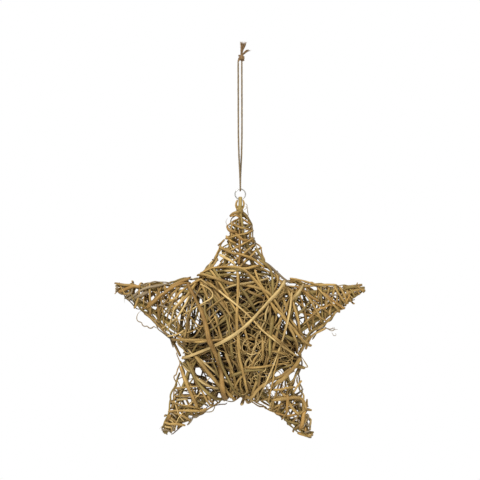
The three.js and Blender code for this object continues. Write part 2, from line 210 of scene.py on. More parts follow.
@dataclass(frozen=True)
class StarShape:
    """The outside form of the star that the windings follow."""

    arms: tuple[Arm, ...] = (
        Arm("top", 90.5, 120.0, 10.5, 1.9),
        Arm("right", 19.0, 132.7, 3.5, 1.25),
        Arm("lower_right", -56.2, 129.0, 5.0, 1.7),
        Arm("lower_left", -125.9, 128.0, 5.0, 1.45),
        Arm("left", 160.3, 133.5, 4.0, 1.4),
    )
    valleys: tuple[tuple[float, float], ...] = (
        (49.0, 60.0),
        (125.0, 65.0),
        (200.0, 62.0),
        (270.0, 66.0),
        (-22.0, 66.0),
    )
    plain_valley: float = 66.0
    root_half_width: float = 39.0
    root_reach: float = 53.4
    tip_half_depth: float = 7.0
    root_half_depth: float = 22.0
    body_half_depth: float = 31.0
    depth_power: float = 1.3
    mean_reach: float = 125.0
    halvings: int = 24

    def half_width(self, arm: Arm, distance: float) -> float:
        """Half width of an arm at a distance from the centre."""
        left = max(arm.reach - distance, 0.0) / (arm.reach - self.root_reach)
        return arm.tip + (self.root_half_width - arm.tip) * left**arm.flare

    def half_depth(self, arm: Arm, distance: float) -> float:
        """Half thickness of an arm at a distance from the centre."""
        share = min(distance / arm.reach, 1.0)
        more = self.root_half_depth - self.tip_half_depth
        return self.tip_half_depth + more * (1 - share**self.depth_power)

    def edge(self, angle: float) -> float:
        """Distance from the centre to the outline in a direction.

        Args:
            angle: The direction in degrees, counted from +X.

        Returns:
            The distance to the outside of the windings.
        """
        arm = min(self.arms, key=lambda entry: abs(turn_between(entry.angle, angle)))
        valley = min(self.valleys, key=lambda entry: abs(turn_between(entry[0], angle)))
        aside = math.radians(abs(turn_between(arm.angle, angle)))
        inside, outside = self.root_reach / 2, arm.reach
        for _ in range(self.halvings):
            middle = (inside + outside) / 2
            if middle * math.sin(aside) < self.half_width(arm, middle * math.cos(aside)):
                inside = middle
            else:
                outside = middle
        return inside * valley[1] / self.plain_valley

    def rim(self) -> np.ndarray:
        """Distance to the outline at each whole degree."""
        return np.array([self.edge(float(angle)) for angle in range(DEGREES)])

    def depth_at(self, x: float, z: float) -> float:
        """Half thickness of the star at a point of its front view.

        Args:
            x: Millimetres to the right of the centre.
            z: Millimetres above the centre.

        Returns:
            The half thickness, zero at and past the outline.
        """
        out = math.hypot(x, z)
        edge = self.edge(math.degrees(math.atan2(z, x)))
        full = min(out / max(edge, 1.0), 1.0)
        less = self.tip_half_depth - self.body_half_depth
        middle = self.body_half_depth + less * min(out / self.mean_reach, 1.0)
        return middle * math.sqrt(1.0 - full**ROUNDNESS)


# Openings that go right through the winding: place across, place up, half width, half height.
OPENINGS = (
    (-3.5, 113, 2, 1.5), (-5, 103, 2.5, 3), (-10, 96.5, 1.5, 1.5), (5.5, 99, 3, 3),
    (8.5, 89.5, 2, 1.5), (-16.5, 87, 1, 1), (-6.5, 85.5, 2, 2.5), (8, 69, 4.5, 4),
    (-13, 67.5, 1.5, 1.5), (-6, 69, 1.5, 2), (-8.5, 50.5, 4, 2.5), (-97.5, 28, 2, 3),
    (-86, 22.5, 2.5, 2.5), (-77, 40.5, 3.5, 2.5), (-65.5, 35.5, 4, 5.5), (-61, 30.5, 2.5, 2.5),
    (-53.5, 31, 2, 2), (-39, 30, 2.5, 3), (-74.5, 12, 2, 2), (-70, 15.5, 1.5, 1.5),
    (-64.5, 5, 5, 6), (-44, 6, 2.5, 3), (-56, -62, 2.5, 3), (-62.5, -65, 1, 2),
    (-61, -72.5, 1.5, 1.5), (-55.5, -71.5, 3, 1.5), (-38, -62.5, 1.5, 1.5), (-39, -73, 1.5, 1),
    (-33, -72.5, 1.5, 1.5), (-57.5, -90, 1, 1), (-41, -40.5, 3.5, 5.5), (-49, -44.5, 2.5, 4.5),
    (-29, -49.5, 2.5, 3.5), (46.5, -59.5, 2, 1.5), (50, -60.5, 1.5, 1.5), (55.5, -71.5, 3, 4.5),
    (61.5, -72, 2, 2), (41.5, -78, 3, 3), (50, -80, 1.5, 1), (51.5, -87.5, 3, 2.5),
    (53, -93, 2.5, 1), (23, -41.5, 2.5, 2.5), (40, -42, 6, 6), (35, 37.5, 1.5, 3.5),
    (39.5, 16.5, 2, 2.5), (44.5, 29.5, 2, 2.5), (46.5, 35.5, 2, 2.5), (62, 36, 1.5, 3),
    (70.5, 19.5, 3, 2.5), (63.5, 24.5, 1, 2.5), (70, 27, 1.5, 2), (66.5, 5, 3, 2),
    (77, 13, 1.5, 2), (84, 34, 2.5, 2), (96, 37, 1.5, 2), (62, -11.5, 1.5, 3.5),
)


def turn_between(start: float, end: float) -> float:
    """Shortest turn from one direction to another, in degrees."""
    return (end - start + 180.0) % 360.0 - 180.0


@dataclass
class Strand:
    """One vine or twig of the winding.

    Attributes:
        line: Its middle, one point per row.
        radius: Half its thickness.
        tone: Its colour.
        slack: How far it gives way where strands touch, 0 for not at all.
        rank: Its layer: of two that touch, the higher one is pushed outwards.
        shade: What its colour is multiplied by: mostly painted shade for strands that lie deep,
            for a few a darker tone of their own.
        blunt: Whether its ends are cut, or else drawn out to a point.
        slim: Its thickness at the ends, as a share.
        sideways: The share of its moves across the front view that it keeps.
    """

    line: np.ndarray
    radius: float
    tone: Tone
    slack: float = 1.0
    rank: float = 0.0
    shade: float = 1.0
    blunt: bool = True
    slim: float = 1.0
    sideways: float = 1.0


@dataclass
class Bundle:
    """Strands that make one piece."""

    name: str
    slot: Slot
    strands: list[Strand] = field(default_factory=list)
    replaces: tuple[str, ...] = ()
    sides: int = 7


def outward(points: np.ndarray) -> np.ndarray:
    """Direction away from the flat middle of the star at each point."""
    scaled = points / np.array([BODY_RADIUS**2, BODY_DEPTH**2, BODY_RADIUS**2])
    return unit(scaled + 1e-9)


@dataclass
class Settling:
    """Pushes crossing strands apart until they rest on each other."""

    rounds: int = 28
    search_every: int = 7
    margin: float = 1.5
    rank_bias: float = 1.2
    pace: float = 0.9
    smoothing: float = 0.22
    outline_pull: float = 0.6
    opening_pull: float = 0.45
    body_share: float = 1.35
    loose: float = 1.0

    def run(self, strands: list[Strand], shape: StarShape) -> None:
        """Moves the strands' lines in place.

        Args:
            strands: All strands of the star.
            shape: The outline that the strands stay inside.
        """
        sizes = [len(strand.line) for strand in strands]
        start = np.vstack([strand.line for strand in strands])
        owner = np.repeat(np.arange(len(strands)), sizes)
        radius = np.repeat([strand.radius for strand in strands], sizes)
        slack = np.repeat([strand.slack for strand in strands], sizes)
        rank = np.repeat([strand.rank for strand in strands], sizes)
        sideways = np.repeat([strand.sideways for strand in strands], sizes)[:, None]
        ends = np.cumsum(sizes)
        first = np.zeros(len(start), bool)
        first[np.concatenate([[0], ends[:-1]])] = True
        last = np.zeros(len(start), bool)
        last[ends - 1] = True
        shift = np.zeros_like(start)
        pairs = self.neighbours(start, owner, radius)
        rim = shape.rim()
        for step in range(self.rounds):
            if step and step % self.search_every == 0:
                pairs = self.neighbours(start + shift, owner, radius)
            shift = self.push(start, shift, pairs, radius, slack, rank)
            shift = shift + self.held(start + shift, radius, slack, shape, rim)
            shift = shift + self.cleared(start + shift, radius, slack)
            shift[:, (0, 2)] *= sideways
            shift = self.smooth(shift, first, last)
        moved = start + shift
        for strand, begin, end in zip(strands, np.concatenate([[0], ends[:-1]]), ends):
            strand.line = moved[begin:end]

    def held(
        self,
        points: np.ndarray,
        radius: np.ndarray,
        slack: np.ndarray,
        shape: StarShape,
        rim: np.ndarray,
    ) -> np.ndarray:
        """Moves that bring points back inside the star's outline."""
        out = np.hypot(points[:, 0], points[:, 2])
        angle = np.degrees(np.arctan2(points[:, 2], points[:, 0]))
        moves = np.zeros_like(points)
        for arm in shape.arms:
            aside = np.radians((angle - arm.angle + 180) % 360 - 180)
            along, across = out * np.cos(aside), out * np.sin(aside)
            left = np.clip(arm.reach - along, 0, None) / (arm.reach - shape.root_reach)
            wide = arm.tip + (shape.root_half_width - arm.tip) * left**arm.flare
            over = np.abs(across) - (wide - radius)
            inside = (np.abs(aside) < HALF_SECTOR) & (over > 0) & (along > shape.root_reach)
            held = inside & (slack >= self.loose)
            pull = np.where(held, -np.sign(across) * over * self.outline_pull, 0)
            moves += pull[:, None] * arm_axes(arm.angle)[1]
        rim_here = at_angle(rim, angle) - radius
        body = (out > rim_here) & (out < self.body_share * shape.root_reach)
        inwards = -points * np.array([1.0, 0.0, 1.0]) / np.maximum(out, 1.0)[:, None]
        pull = np.where(body & (slack >= self.loose), (out - rim_here) * self.outline_pull, 0)
        return moves + pull[:, None] * inwards

    def cleared(self, points: np.ndarray, radius: np.ndarray, slack: np.ndarray) -> np.ndarray:
        """Moves that keep the openings free, seen from the front."""
        moves = np.zeros_like(points)
        for x, z, wide, high in OPENINGS:
            across = points[:, 0] - x
            up = points[:, 2] - z
            wide_here, high_here = wide + radius, high + radius
            share = np.sqrt((across / wide_here) ** 2 + (up / high_here) ** 2)
            inside = share < 1
            away = np.stack([across * high / wide, up * 0, up * wide / high], axis=1)
            away = unit(away + 1e-6)
            size = np.where(inside, (1 - share) * np.minimum(wide_here, high_here), 0)
            moves += away * (size * self.opening_pull * np.minimum(slack * 1.5, 1))[:, None]
        return moves

    def neighbours(self, points: np.ndarray, owner: np.ndarray, radius: np.ndarray) -> np.ndarray:
        """Pairs of points of different strands that are near each other."""
        tree = KDTree(len(points))
        for index, point in enumerate(points):
            tree.insert(point, index)
        tree.balance()
        widest = float(radius.max())
        pairs = []
        for index, point in enumerate(points):
            reach = radius[index] + widest + self.margin
            for _, other, distance in tree.find_range(point, reach):
                near = radius[index] + radius[other] + self.margin
                if other > index and owner[other] != owner[index] and distance < near:
                    pairs.append((index, other))
        return np.array(pairs, int).reshape(-1, 2)

    def push(
        self,
        start: np.ndarray,
        shift: np.ndarray,
        pairs: np.ndarray,
        radius: np.ndarray,
        slack: np.ndarray,
        rank: np.ndarray,
    ) -> np.ndarray:
        """Moves touching points apart, the later vine outwards."""
        points = start + shift
        one, two = pairs[:, 0], pairs[:, 1]
        between = points[one] - points[two]
        distance = np.linalg.norm(between, axis=1)
        need = radius[one] + radius[two] - distance
        touching = need > 0
        one, two = one[touching], two[touching]
        between, need = between[touching], need[touching]
        away = outward((points[one] + points[two]) / 2)
        above = np.sign(rank[one] - rank[two])[:, None]
        direction = unit(unit(between) + self.rank_bias * above * away)
        give = slack[one] + slack[two] + 1e-6
        moves = np.zeros_like(points)
        counts = np.zeros(len(points))
        share_one = (slack[one] / give)[:, None]
        share_two = (slack[two] / give)[:, None]
        np.add.at(moves, one, direction * need[:, None] * share_one)
        np.add.at(moves, two, -direction * need[:, None] * share_two)
        np.add.at(counts, one, 1)
        np.add.at(counts, two, 1)
        return shift + self.pace * moves / np.maximum(np.sqrt(counts), 1)[:, None]

    def smooth(self, shift: np.ndarray, first: np.ndarray, last: np.ndarray) -> np.ndarray:
        """Spreads each move along its strand, as a stiff vine does."""
        before = np.roll(shift, 1, axis=0)
        after = np.roll(shift, -1, axis=0)
        before[first] = shift[first]
        after[last] = shift[last]
        return (1 - 2 * self.smoothing) * shift + self.smoothing * (before + after)


@dataclass
class VineMesher:
    """Turns strands into closed meshes with a grain direction and a colour of their own."""

    wobble: float = 0.1
    knuckle: float = 0.22
    knuckle_every: float = 42.0
    flatten: float = 0.14
    end_taper: float = 0.72
    slim_over: float = 34.0
    ribbon: float = 1.0
    waves: tuple[float, float] = (11.0, 4.3)
    knuckle_length: float = 1.6
    point_taper: float = 0.2
    blunt_reach: float = 1.5
    point_reach: float = 9.0
    twist_length: float = 38.0
    ridges: float = 0.05
    grain_length: float = 20.0
    tint_range: tuple[float, float] = (0.85, 1.15)

    def frames(self, line: np.ndarray) -> tuple[np.ndarray, np.ndarray]:
        """Two directions across the line at each point, without sudden twist."""
        tangent = unit(np.gradient(line, axis=0))
        normal = np.zeros_like(line)
        guess = np.array([1.0, 0.0, 0.0])
        if abs(tangent[0] @ guess) > 0.9:
            guess = np.array([0.0, 1.0, 0.0])
        current = guess - tangent[0] * (tangent[0] @ guess)
        for index, direction in enumerate(tangent):
            current = current - direction * (direction @ current)
            current = current / max(np.linalg.norm(current), 1e-9)
            normal[index] = current
        return normal, np.cross(tangent, normal)

    def girth(
        self, strand: Strand, along: np.ndarray, phases: np.ndarray, rng: np.random.Generator
    ) -> np.ndarray:
        """Thickness along a strand: its waves, its knuckles and its ends."""
        slow, quick = self.waves
        girth = 1 + self.wobble * (
            0.6 * np.sin(along / slow + phases[0]) + 0.4 * np.sin(along / quick + phases[1])
        )
        spacing = self.knuckle_every * rng.uniform(0.7, 1.3)
        offset = (along + rng.uniform(0, spacing)) % spacing - spacing / 2
        girth = girth + self.knuckle * np.exp(-((offset / self.knuckle_length) ** 2))
        from_end = np.minimum(along, along[-1] - along)
        taper = self.end_taper if strand.blunt else self.point_taper
        reach = self.blunt_reach if strand.blunt else self.point_reach
        girth = girth * (taper + (1 - taper) * np.clip(from_end / reach, 0, 1))
        thick = np.clip(from_end / self.slim_over, 0, 1)
        return girth * (strand.slim + (1 - strand.slim) * thick)

    def skin(self, strand: Strand, sides: int, rng: np.random.Generator) -> tuple[np.ndarray, ...]:
        """Vertices and grain coordinates of one strand.

        Args:
            strand: The vine to cover.
            sides: Corners of its cross-section.
            rng: The source of its irregularities.

        Returns:
            The rings of vertices, the length along the vine and the angle shares.
        """
        line = strand.line
        along = along_line(line)
        normal, side = self.frames(line)
        phases = rng.uniform(0, 2 * np.pi, 4)
        girth = self.girth(strand, along, phases, rng)
        angles = 2 * np.pi * np.arange(sides) / sides
        turn = 0.9 * np.sin(along / self.twist_length + phases[2]) + phases[3]
        if self.ribbon > 1:
            turn = 0 * along
        wide = strand.radius * (1 + self.flatten) * self.ribbon
        thin = strand.radius * (1 - self.flatten)
        ridge = 1 + self.ridges * np.sin(3 * angles + phases[2])
        local_x = wide * np.cos(angles) * ridge
        local_y = thin * np.sin(angles) * ridge
        cos_turn, sin_turn = np.cos(turn)[:, None], np.sin(turn)[:, None]
        across = (cos_turn * local_x - sin_turn * local_y) * girth[:, None]
        up = (sin_turn * local_x + cos_turn * local_y) * girth[:, None]
        rings = line[:, None, :] + across[..., None] * normal[:, None, :]
        rings = rings + up[..., None] * side[:, None, :]
        return rings, along, angles / (2 * np.pi)

    def build(self, bundle: Bundle, rng: np.random.Generator) -> bpy.types.Object:
        """Makes the piece of a bundle.

        Args:
            bundle: The strands to join into one mesh.
            rng: The source of irregularities.

        Returns:
            The new object, in metres.
        """
        vertices, faces, uvs, tints = [], [], [], []
        count = 0
        for strand in bundle.strands:
            rings, along, shares = self.skin(strand, bundle.sides, rng)
            total, sides = rings.shape[:2]
            vertices.append(rings.reshape(-1, 3))
            ring = np.arange(total - 1)[:, None] * sides
            corner = np.arange(sides)[None, :]
            following = (corner + 1) % sides
            quads = np.stack(
                [ring + corner, ring + following, ring + sides + following, ring + sides + corner],
                axis=-1,
            ).reshape(-1, 4)
            faces.extend((quads[:, ::-1] + count).tolist())
            faces.append([count + index for index in range(sides)])
            faces.append([count + (total - 1) * sides + index for index in reversed(range(sides))])
            shift = rng.uniform(0, 10, 2)
            grid = (total - 1, sides)
            low = np.broadcast_to(along[:-1, None], grid) / self.grain_length + shift[0]
            high = np.broadcast_to(along[1:, None], grid) / self.grain_length + shift[0]
            left = np.broadcast_to(shares[None, :], grid) + shift[1]
            right = left + 1.0 / sides
            quad_uv = np.stack([[left, high], [right, high], [right, low], [left, low]], axis=0)
            uvs.append(quad_uv.transpose(2, 3, 0, 1).reshape(-1, 2))
            uvs.append(np.tile([shift[1], shift[0]], (2 * sides, 1)))
            # Tone times shade, which is painted shade for strands that lie deep.
            colour = np.array(linear(strand.tone.value)) * strand.shade
            colour = colour * rng.uniform(*self.tint_range)
            tints.append(np.tile([*colour, 1.0], (total * sides, 1)))
            count += total * sides
        return self.finish(bundle.name, vertices, faces, uvs, tints)

    def finish(
        self, name: str, vertices: list, faces: list, uvs: list, tints: list
    ) -> bpy.types.Object:
        """Makes the object from its lists of vertices, faces, grain coordinates and colours."""
        mesh = bpy.data.meshes.new(name)
        points = (np.vstack(vertices) + STAR_CENTRE) * MM
        mesh.from_pydata(points.tolist(), [], faces)
        layer = mesh.uv_layers.new(name="grain")
        layer.data.foreach_set("uv", np.vstack(uvs).astype(np.float32).ravel())
        tint = mesh.color_attributes.new("tint", "FLOAT_COLOR", "POINT")
        tint.data.foreach_set("color", np.vstack(tints).astype(np.float32).ravel())
        mesh.shade_smooth()
        return added(name, mesh)


class NodeTree:
    """Small helper that adds and joins shader nodes."""

    def __init__(self, tree: bpy.types.NodeTree) -> None:
        """Keeps the tree that nodes go into."""
        self.tree = tree

    def add(self, kind: str, **values: object) -> bpy.types.Node:
        """Adds a node and sets its properties."""
        node = self.tree.nodes.new(kind)
        for name, value in values.items():
            setattr(node, name, value)
        return node

    def join(self, source: object, target: bpy.types.NodeSocket) -> None:
        """Joins an output to an input, or sets the input to a plain value."""
        if isinstance(source, bpy.types.NodeSocket):
            self.tree.links.new(source, target)
        else:
            target.default_value = source

    def mix(
        self, kind: str, factor: object, first: object, second: object
    ) -> bpy.types.NodeSocket:
        """Adds a colour mix and returns its result."""
        node = self.add("ShaderNodeMix", data_type="RGBA", blend_type=kind)
        for place, value in ((0, factor), (6, first), (7, second)):
            self.join(value, node.inputs[place])
        return node.outputs[2]

    def maths(self, kind: str, first: object, second: object) -> bpy.types.NodeSocket:
        """Adds a sum or a product and returns its result."""
        node = self.add("ShaderNodeMath", operation=kind)
        self.join(first, node.inputs[0])
        self.join(second, node.inputs[1])
        return node.outputs[0]

    def ramp(self, source: bpy.types.NodeSocket, low: float, high: float) -> bpy.types.NodeSocket:
        """Stretches a value between two bounds to the range from 0 to 1."""
        node = self.add("ShaderNodeMapRange", clamp=True)
        for place, value in enumerate((source, low, high)):
            self.join(value, node.inputs[place])
        return node.outputs[0]


def new_material(name: str) -> tuple[bpy.types.Material, NodeTree, bpy.types.Node]:
    """Makes a material, and gives it with its nodes and its main shader."""
    material = bpy.data.materials.new(name)
    material.use_nodes = True
    return material, NodeTree(material.node_tree), material.node_tree.nodes["Principled BSDF"]


def fibre_group() -> bpy.types.NodeTree:
    """Long fibres, patches of bark and dust on a stem, shared by all vines.

    Returns:
        The node group, with a colour, a roughness and a height as outputs.
    """
    group = bpy.data.node_groups.new("long_fibres", "ShaderNodeTree")
    face = group.interface
    face.new_socket("Grain", in_out="INPUT", socket_type="NodeSocketVector")
    face.new_socket("Tint", in_out="INPUT", socket_type="NodeSocketColor")
    for name, value in (("Streaks", 0.5), ("Bark", 0.5), ("Rough", 0.7)):
        socket = face.new_socket(name, in_out="INPUT", socket_type="NodeSocketFloat")
        socket.default_value = value
    for name, kind in (("Color", "Color"), ("Roughness", "Float"), ("Height", "Float")):
        face.new_socket(name, in_out="OUTPUT", socket_type=f"NodeSocket{kind}")
    nodes = NodeTree(group)
    start = nodes.add("NodeGroupInput")
    end = nodes.add("NodeGroupOutput")

    def noise(scale: tuple[float, float, float], detail: float) -> bpy.types.NodeSocket:
        """Noise in the grain coordinates, stretched by scale."""
        place = nodes.add("ShaderNodeVectorMath", operation="MULTIPLY")
        nodes.join(start.outputs["Grain"], place.inputs[0])
        place.inputs[1].default_value = scale
        texture = nodes.add("ShaderNodeTexNoise")
        nodes.join(place.outputs[0], texture.inputs["Vector"])
        texture.inputs["Scale"].default_value = 1.0
        texture.inputs["Detail"].default_value = detail
        return texture.outputs[0]

    streak = nodes.ramp(noise((14.0, 0.9, 1.0), 3.0), 0.3, 0.7)
    patch = nodes.ramp(noise((1.3, 1.1, 1.0), 2.0), 0.42, 0.62)
    speck = nodes.ramp(noise((22.0, 18.0, 1.0), 1.0), 0.55, 0.75)
    dark = nodes.mix("MULTIPLY", 1.0, start.outputs["Tint"], (0.5, 0.46, 0.4, 1.0))
    light = nodes.mix("MULTIPLY", 1.0, start.outputs["Tint"], (1.35, 1.32, 1.28, 1.0))
    streaked = nodes.mix("MIX", streak, dark, light)
    with_streaks = nodes.mix("MIX", start.outputs["Streaks"], start.outputs["Tint"], streaked)
    bark = nodes.mix("MULTIPLY", 1.0, with_streaks, (0.62, 0.55, 0.46, 1.0))
    bark_share = nodes.maths("MULTIPLY", patch, start.outputs["Bark"])
    barked = nodes.mix("MIX", bark_share, with_streaks, bark)
    speck_share = nodes.maths("MULTIPLY", speck, 0.2)
    dusted = nodes.mix("MIX", speck_share, barked, (0.5, 0.4, 0.27, 1.0))
    nodes.join(dusted, end.inputs["Color"])
    rough = nodes.maths("ADD", start.outputs["Rough"], nodes.maths("MULTIPLY", streak, 0.15))
    nodes.join(rough, end.inputs["Roughness"])
    height = nodes.maths("ADD", streak, nodes.maths("MULTIPLY", patch, 0.5))
    nodes.join(height, end.inputs["Height"])
    return group


@dataclass(frozen=True)
class VineFinish:
    """Dry stem with its fibres, in the colour that each strand carries."""

    name: str
    streaks: float = 0.75
    bark: float = 0.7
    rough: float = 0.62
    relief: float = 0.35
    relief_depth: float = 0.0003
    gloss: float = 0.35

    def make(self, fibres: bpy.types.NodeTree) -> bpy.types.Material:
        """Builds the material.

        Args:
            fibres: The shared group of long fibres.

        Returns:
            The material.
        """
        material, nodes, shader = new_material(self.name)
        grain = nodes.add("ShaderNodeUVMap", uv_map="grain")
        tint = nodes.add("ShaderNodeAttribute", attribute_name="tint")
        group = nodes.add("ShaderNodeGroup", node_tree=fibres)
        nodes.join(grain.outputs["UV"], group.inputs["Grain"])
        nodes.join(tint.outputs["Color"], group.inputs["Tint"])
        for name, value in (("Streaks", self.streaks), ("Bark", self.bark), ("Rough", self.rough)):
            nodes.join(value, group.inputs[name])
        nodes.join(group.outputs["Color"], shader.inputs["Base Color"])
        nodes.join(group.outputs["Roughness"], shader.inputs["Roughness"])
        bump = nodes.add("ShaderNodeBump")
        bump.inputs["Strength"].default_value = self.relief
        bump.inputs["Distance"].default_value = self.relief_depth
        nodes.join(group.outputs["Height"], bump.inputs["Height"])
        nodes.join(bump.outputs["Normal"], shader.inputs["Normal"])
        shader.inputs["Specular IOR Level"].default_value = self.gloss
        return material


@dataclass(frozen=True)
class SteelFinish:
    """Plated steel wire, a little dull."""

    name: str = "plated_steel"
    colour: tuple[float, float, float] = (205, 203, 198)
    dull: tuple[float, float, float] = (150, 147, 140)
    grain: float = 900.0
    rough: float = 0.28

    def make(self) -> bpy.types.Material:
        """Builds the material."""
        material, nodes, shader = new_material(self.name)
        shader.inputs["Metallic"].default_value = 1.0
        noise = nodes.add("ShaderNodeTexNoise")
        noise.inputs["Scale"].default_value = self.grain
        tone = nodes.ramp(noise.outputs[0], 0.2, 0.8)
        bright = (*linear(self.colour), 1.0)
        dull = (*linear(self.dull), 1.0)
        nodes.join(nodes.mix("MIX", tone, bright, dull), shader.inputs["Base Color"])
        uneven = nodes.maths("MULTIPLY", tone, 0.2)
        nodes.join(nodes.maths("ADD", self.rough, uneven), shader.inputs["Roughness"])
        return material


@dataclass(frozen=True)
class Floor:
    """Plain pale floor, well below the hanging star."""

    radius: float = 3.0
    level: float = -1.0
    colour: tuple[float, float, float] = (0.86, 0.86, 0.85)
    corners: int = 64

    def build(self) -> None:
        """Makes the floor and gives it its finish."""
        mesh = bpy.data.meshes.new("floor")
        turns = [2 * math.pi * index / self.corners for index in range(self.corners)]
        rim = [
            (self.radius * math.cos(turn), self.radius * math.sin(turn), self.level)
            for turn in turns
        ]
        mesh.from_pydata(rim, [], [list(range(self.corners))])
        floor = added("floor", mesh)
        material, _, shader = new_material("floor")
        shader.inputs["Base Color"].default_value = (*self.colour, 1.0)
        shader.inputs["Roughness"].default_value = 0.9
        mesh.materials.append(material)


@dataclass(frozen=True)
class Studio:
    """Camera, soft lights and a white surround."""

    distance: float = 1.8
    view_size: float = 0.48
    height: float = -0.179
    sensor: float = 36.0
    ambient: float = 0.46
    aim: tuple[float, float, float] = (0.0, 0.0, -0.25)

    def camera(self) -> None:
        """Places the camera straight in front, as in the photograph."""
        data = bpy.data.cameras.new("camera")
        data.sensor_width = self.sensor
        data.lens = self.sensor * self.distance / self.view_size
        camera = added("camera", data)
        camera.location = (0.0, -self.distance, self.height)
        camera.rotation_euler = (math.pi / 2, 0.0, 0.0)
        bpy.context.scene.camera = camera

    def area(
        self, name: str, place: tuple[float, float, float], size: float, power: float
    ) -> None:
        """Adds a soft area light that faces the star."""
        data = bpy.data.lights.new(name, "AREA")
        data.size = size
        data.energy = power
        light = added(name, data)
        light.location = place
        aim = Vector(self.aim) - Vector(place)
        light.rotation_euler = aim.to_track_quat("-Z", "Y").to_euler()

    def lights(self) -> None:
        """Adds the key light, a fill and the white surround."""
        self.area("key_light", (-0.7, -1.2, 1.0), 0.6, 36.0)
        self.area("fill_light", (1.0, -1.2, 0.1), 1.2, 10.0)
        self.area("rim_light", (0.3, 1.4, 0.7), 1.2, 8.0)
        world = bpy.data.worlds.new("surround")
        world.use_nodes = True
        bpy.context.scene.world = world
        nodes = NodeTree(world.node_tree)
        world.node_tree.nodes.clear()
        shown, glow = nodes.add("ShaderNodeBackground"), nodes.add("ShaderNodeBackground")
        for surround, strength in ((shown, 1.0), (glow, self.ambient)):
            surround.inputs["Color"].default_value = (1.0, 1.0, 1.0, 1.0)
            surround.inputs["Strength"].default_value = strength
        path = nodes.add("ShaderNodeLightPath")
        choice = nodes.add("ShaderNodeMixShader")
        output = nodes.add("ShaderNodeOutputWorld")
        nodes.join(path.outputs["Is Camera Ray"], choice.inputs[0])
        nodes.join(glow.outputs[0], choice.inputs[1])
        nodes.join(shown.outputs[0], choice.inputs[2])
        nodes.join(choice.outputs[0], output.inputs[0])
        bpy.context.scene.view_settings.view_transform = "Standard"


@dataclass
class CadVines:
    """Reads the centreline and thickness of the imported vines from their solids."""

    nodes: dict[str, bpy.types.Object]
    step: float = 2.0
    settle_slack: float = 0.06
    inner_corners: int = 6
    girth: float = 0.98
    wave: float = 0.35
    wave_lengths: tuple[float, float, float] = (9.0, 12.0, 10.5)

    def rings(self, name: str) -> tuple[np.ndarray, float]:
        """Finds the corner rings of a swept solid.

        Args:
            name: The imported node.

        Returns:
            The middle of each ring, from one end to the other, and the radius.
        """
        mesh = self.nodes[name].data
        raw = np.array([vertex.co for vertex in mesh.vertices]) / MM - STAR_CENTRE
        keys = np.round(raw, 2)
        places, index = np.unique(keys, axis=0, return_inverse=True)
        index = index.reshape(-1)
        near = [set() for _ in places]
        for polygon in mesh.polygons:
            corners = [int(index[vertex]) for vertex in polygon.vertices]
            for one, two in zip(corners, corners[1:] + corners[:1]):
                near[one].add(two)
                near[two].add(one)
        first = min(range(len(places)), key=lambda vertex: len(near[vertex]))
        ends = {vertex for vertex in range(len(places)) if len(near[vertex]) < self.inner_corners}
        layer = {first}
        grown = True
        while grown:
            wider = {other for vertex in layer for other in near[vertex] if other in ends}
            grown = not wider <= layer
            layer |= wider
        seen = set(layer)
        middles, radii = [], []
        while layer:
            corners = places[sorted(layer)]
            middle = corners.mean(axis=0)
            middles.append(middle)
            radii.append(np.linalg.norm(corners - middle, axis=1).mean())
            layer = {other for vertex in layer for other in near[vertex]} - seen
            seen |= layer
        return np.array(middles), float(np.median(radii))

    def strand(self, name: str, tone: Tone, rank: float, rng: np.random.Generator) -> Strand:
        """Makes the strand that follows a packed vine."""
        middles, radius = self.rings(name)
        line = spaced(rounded(middles, 2), self.step)
        phase = rng.uniform(0, 2 * np.pi, 3)
        along = np.arange(len(line))[:, None] * self.step
        line = line + self.wave * np.sin(along / np.array(self.wave_lengths) + phase)
        return Strand(line, radius * self.girth, tone, self.settle_slack, rank)


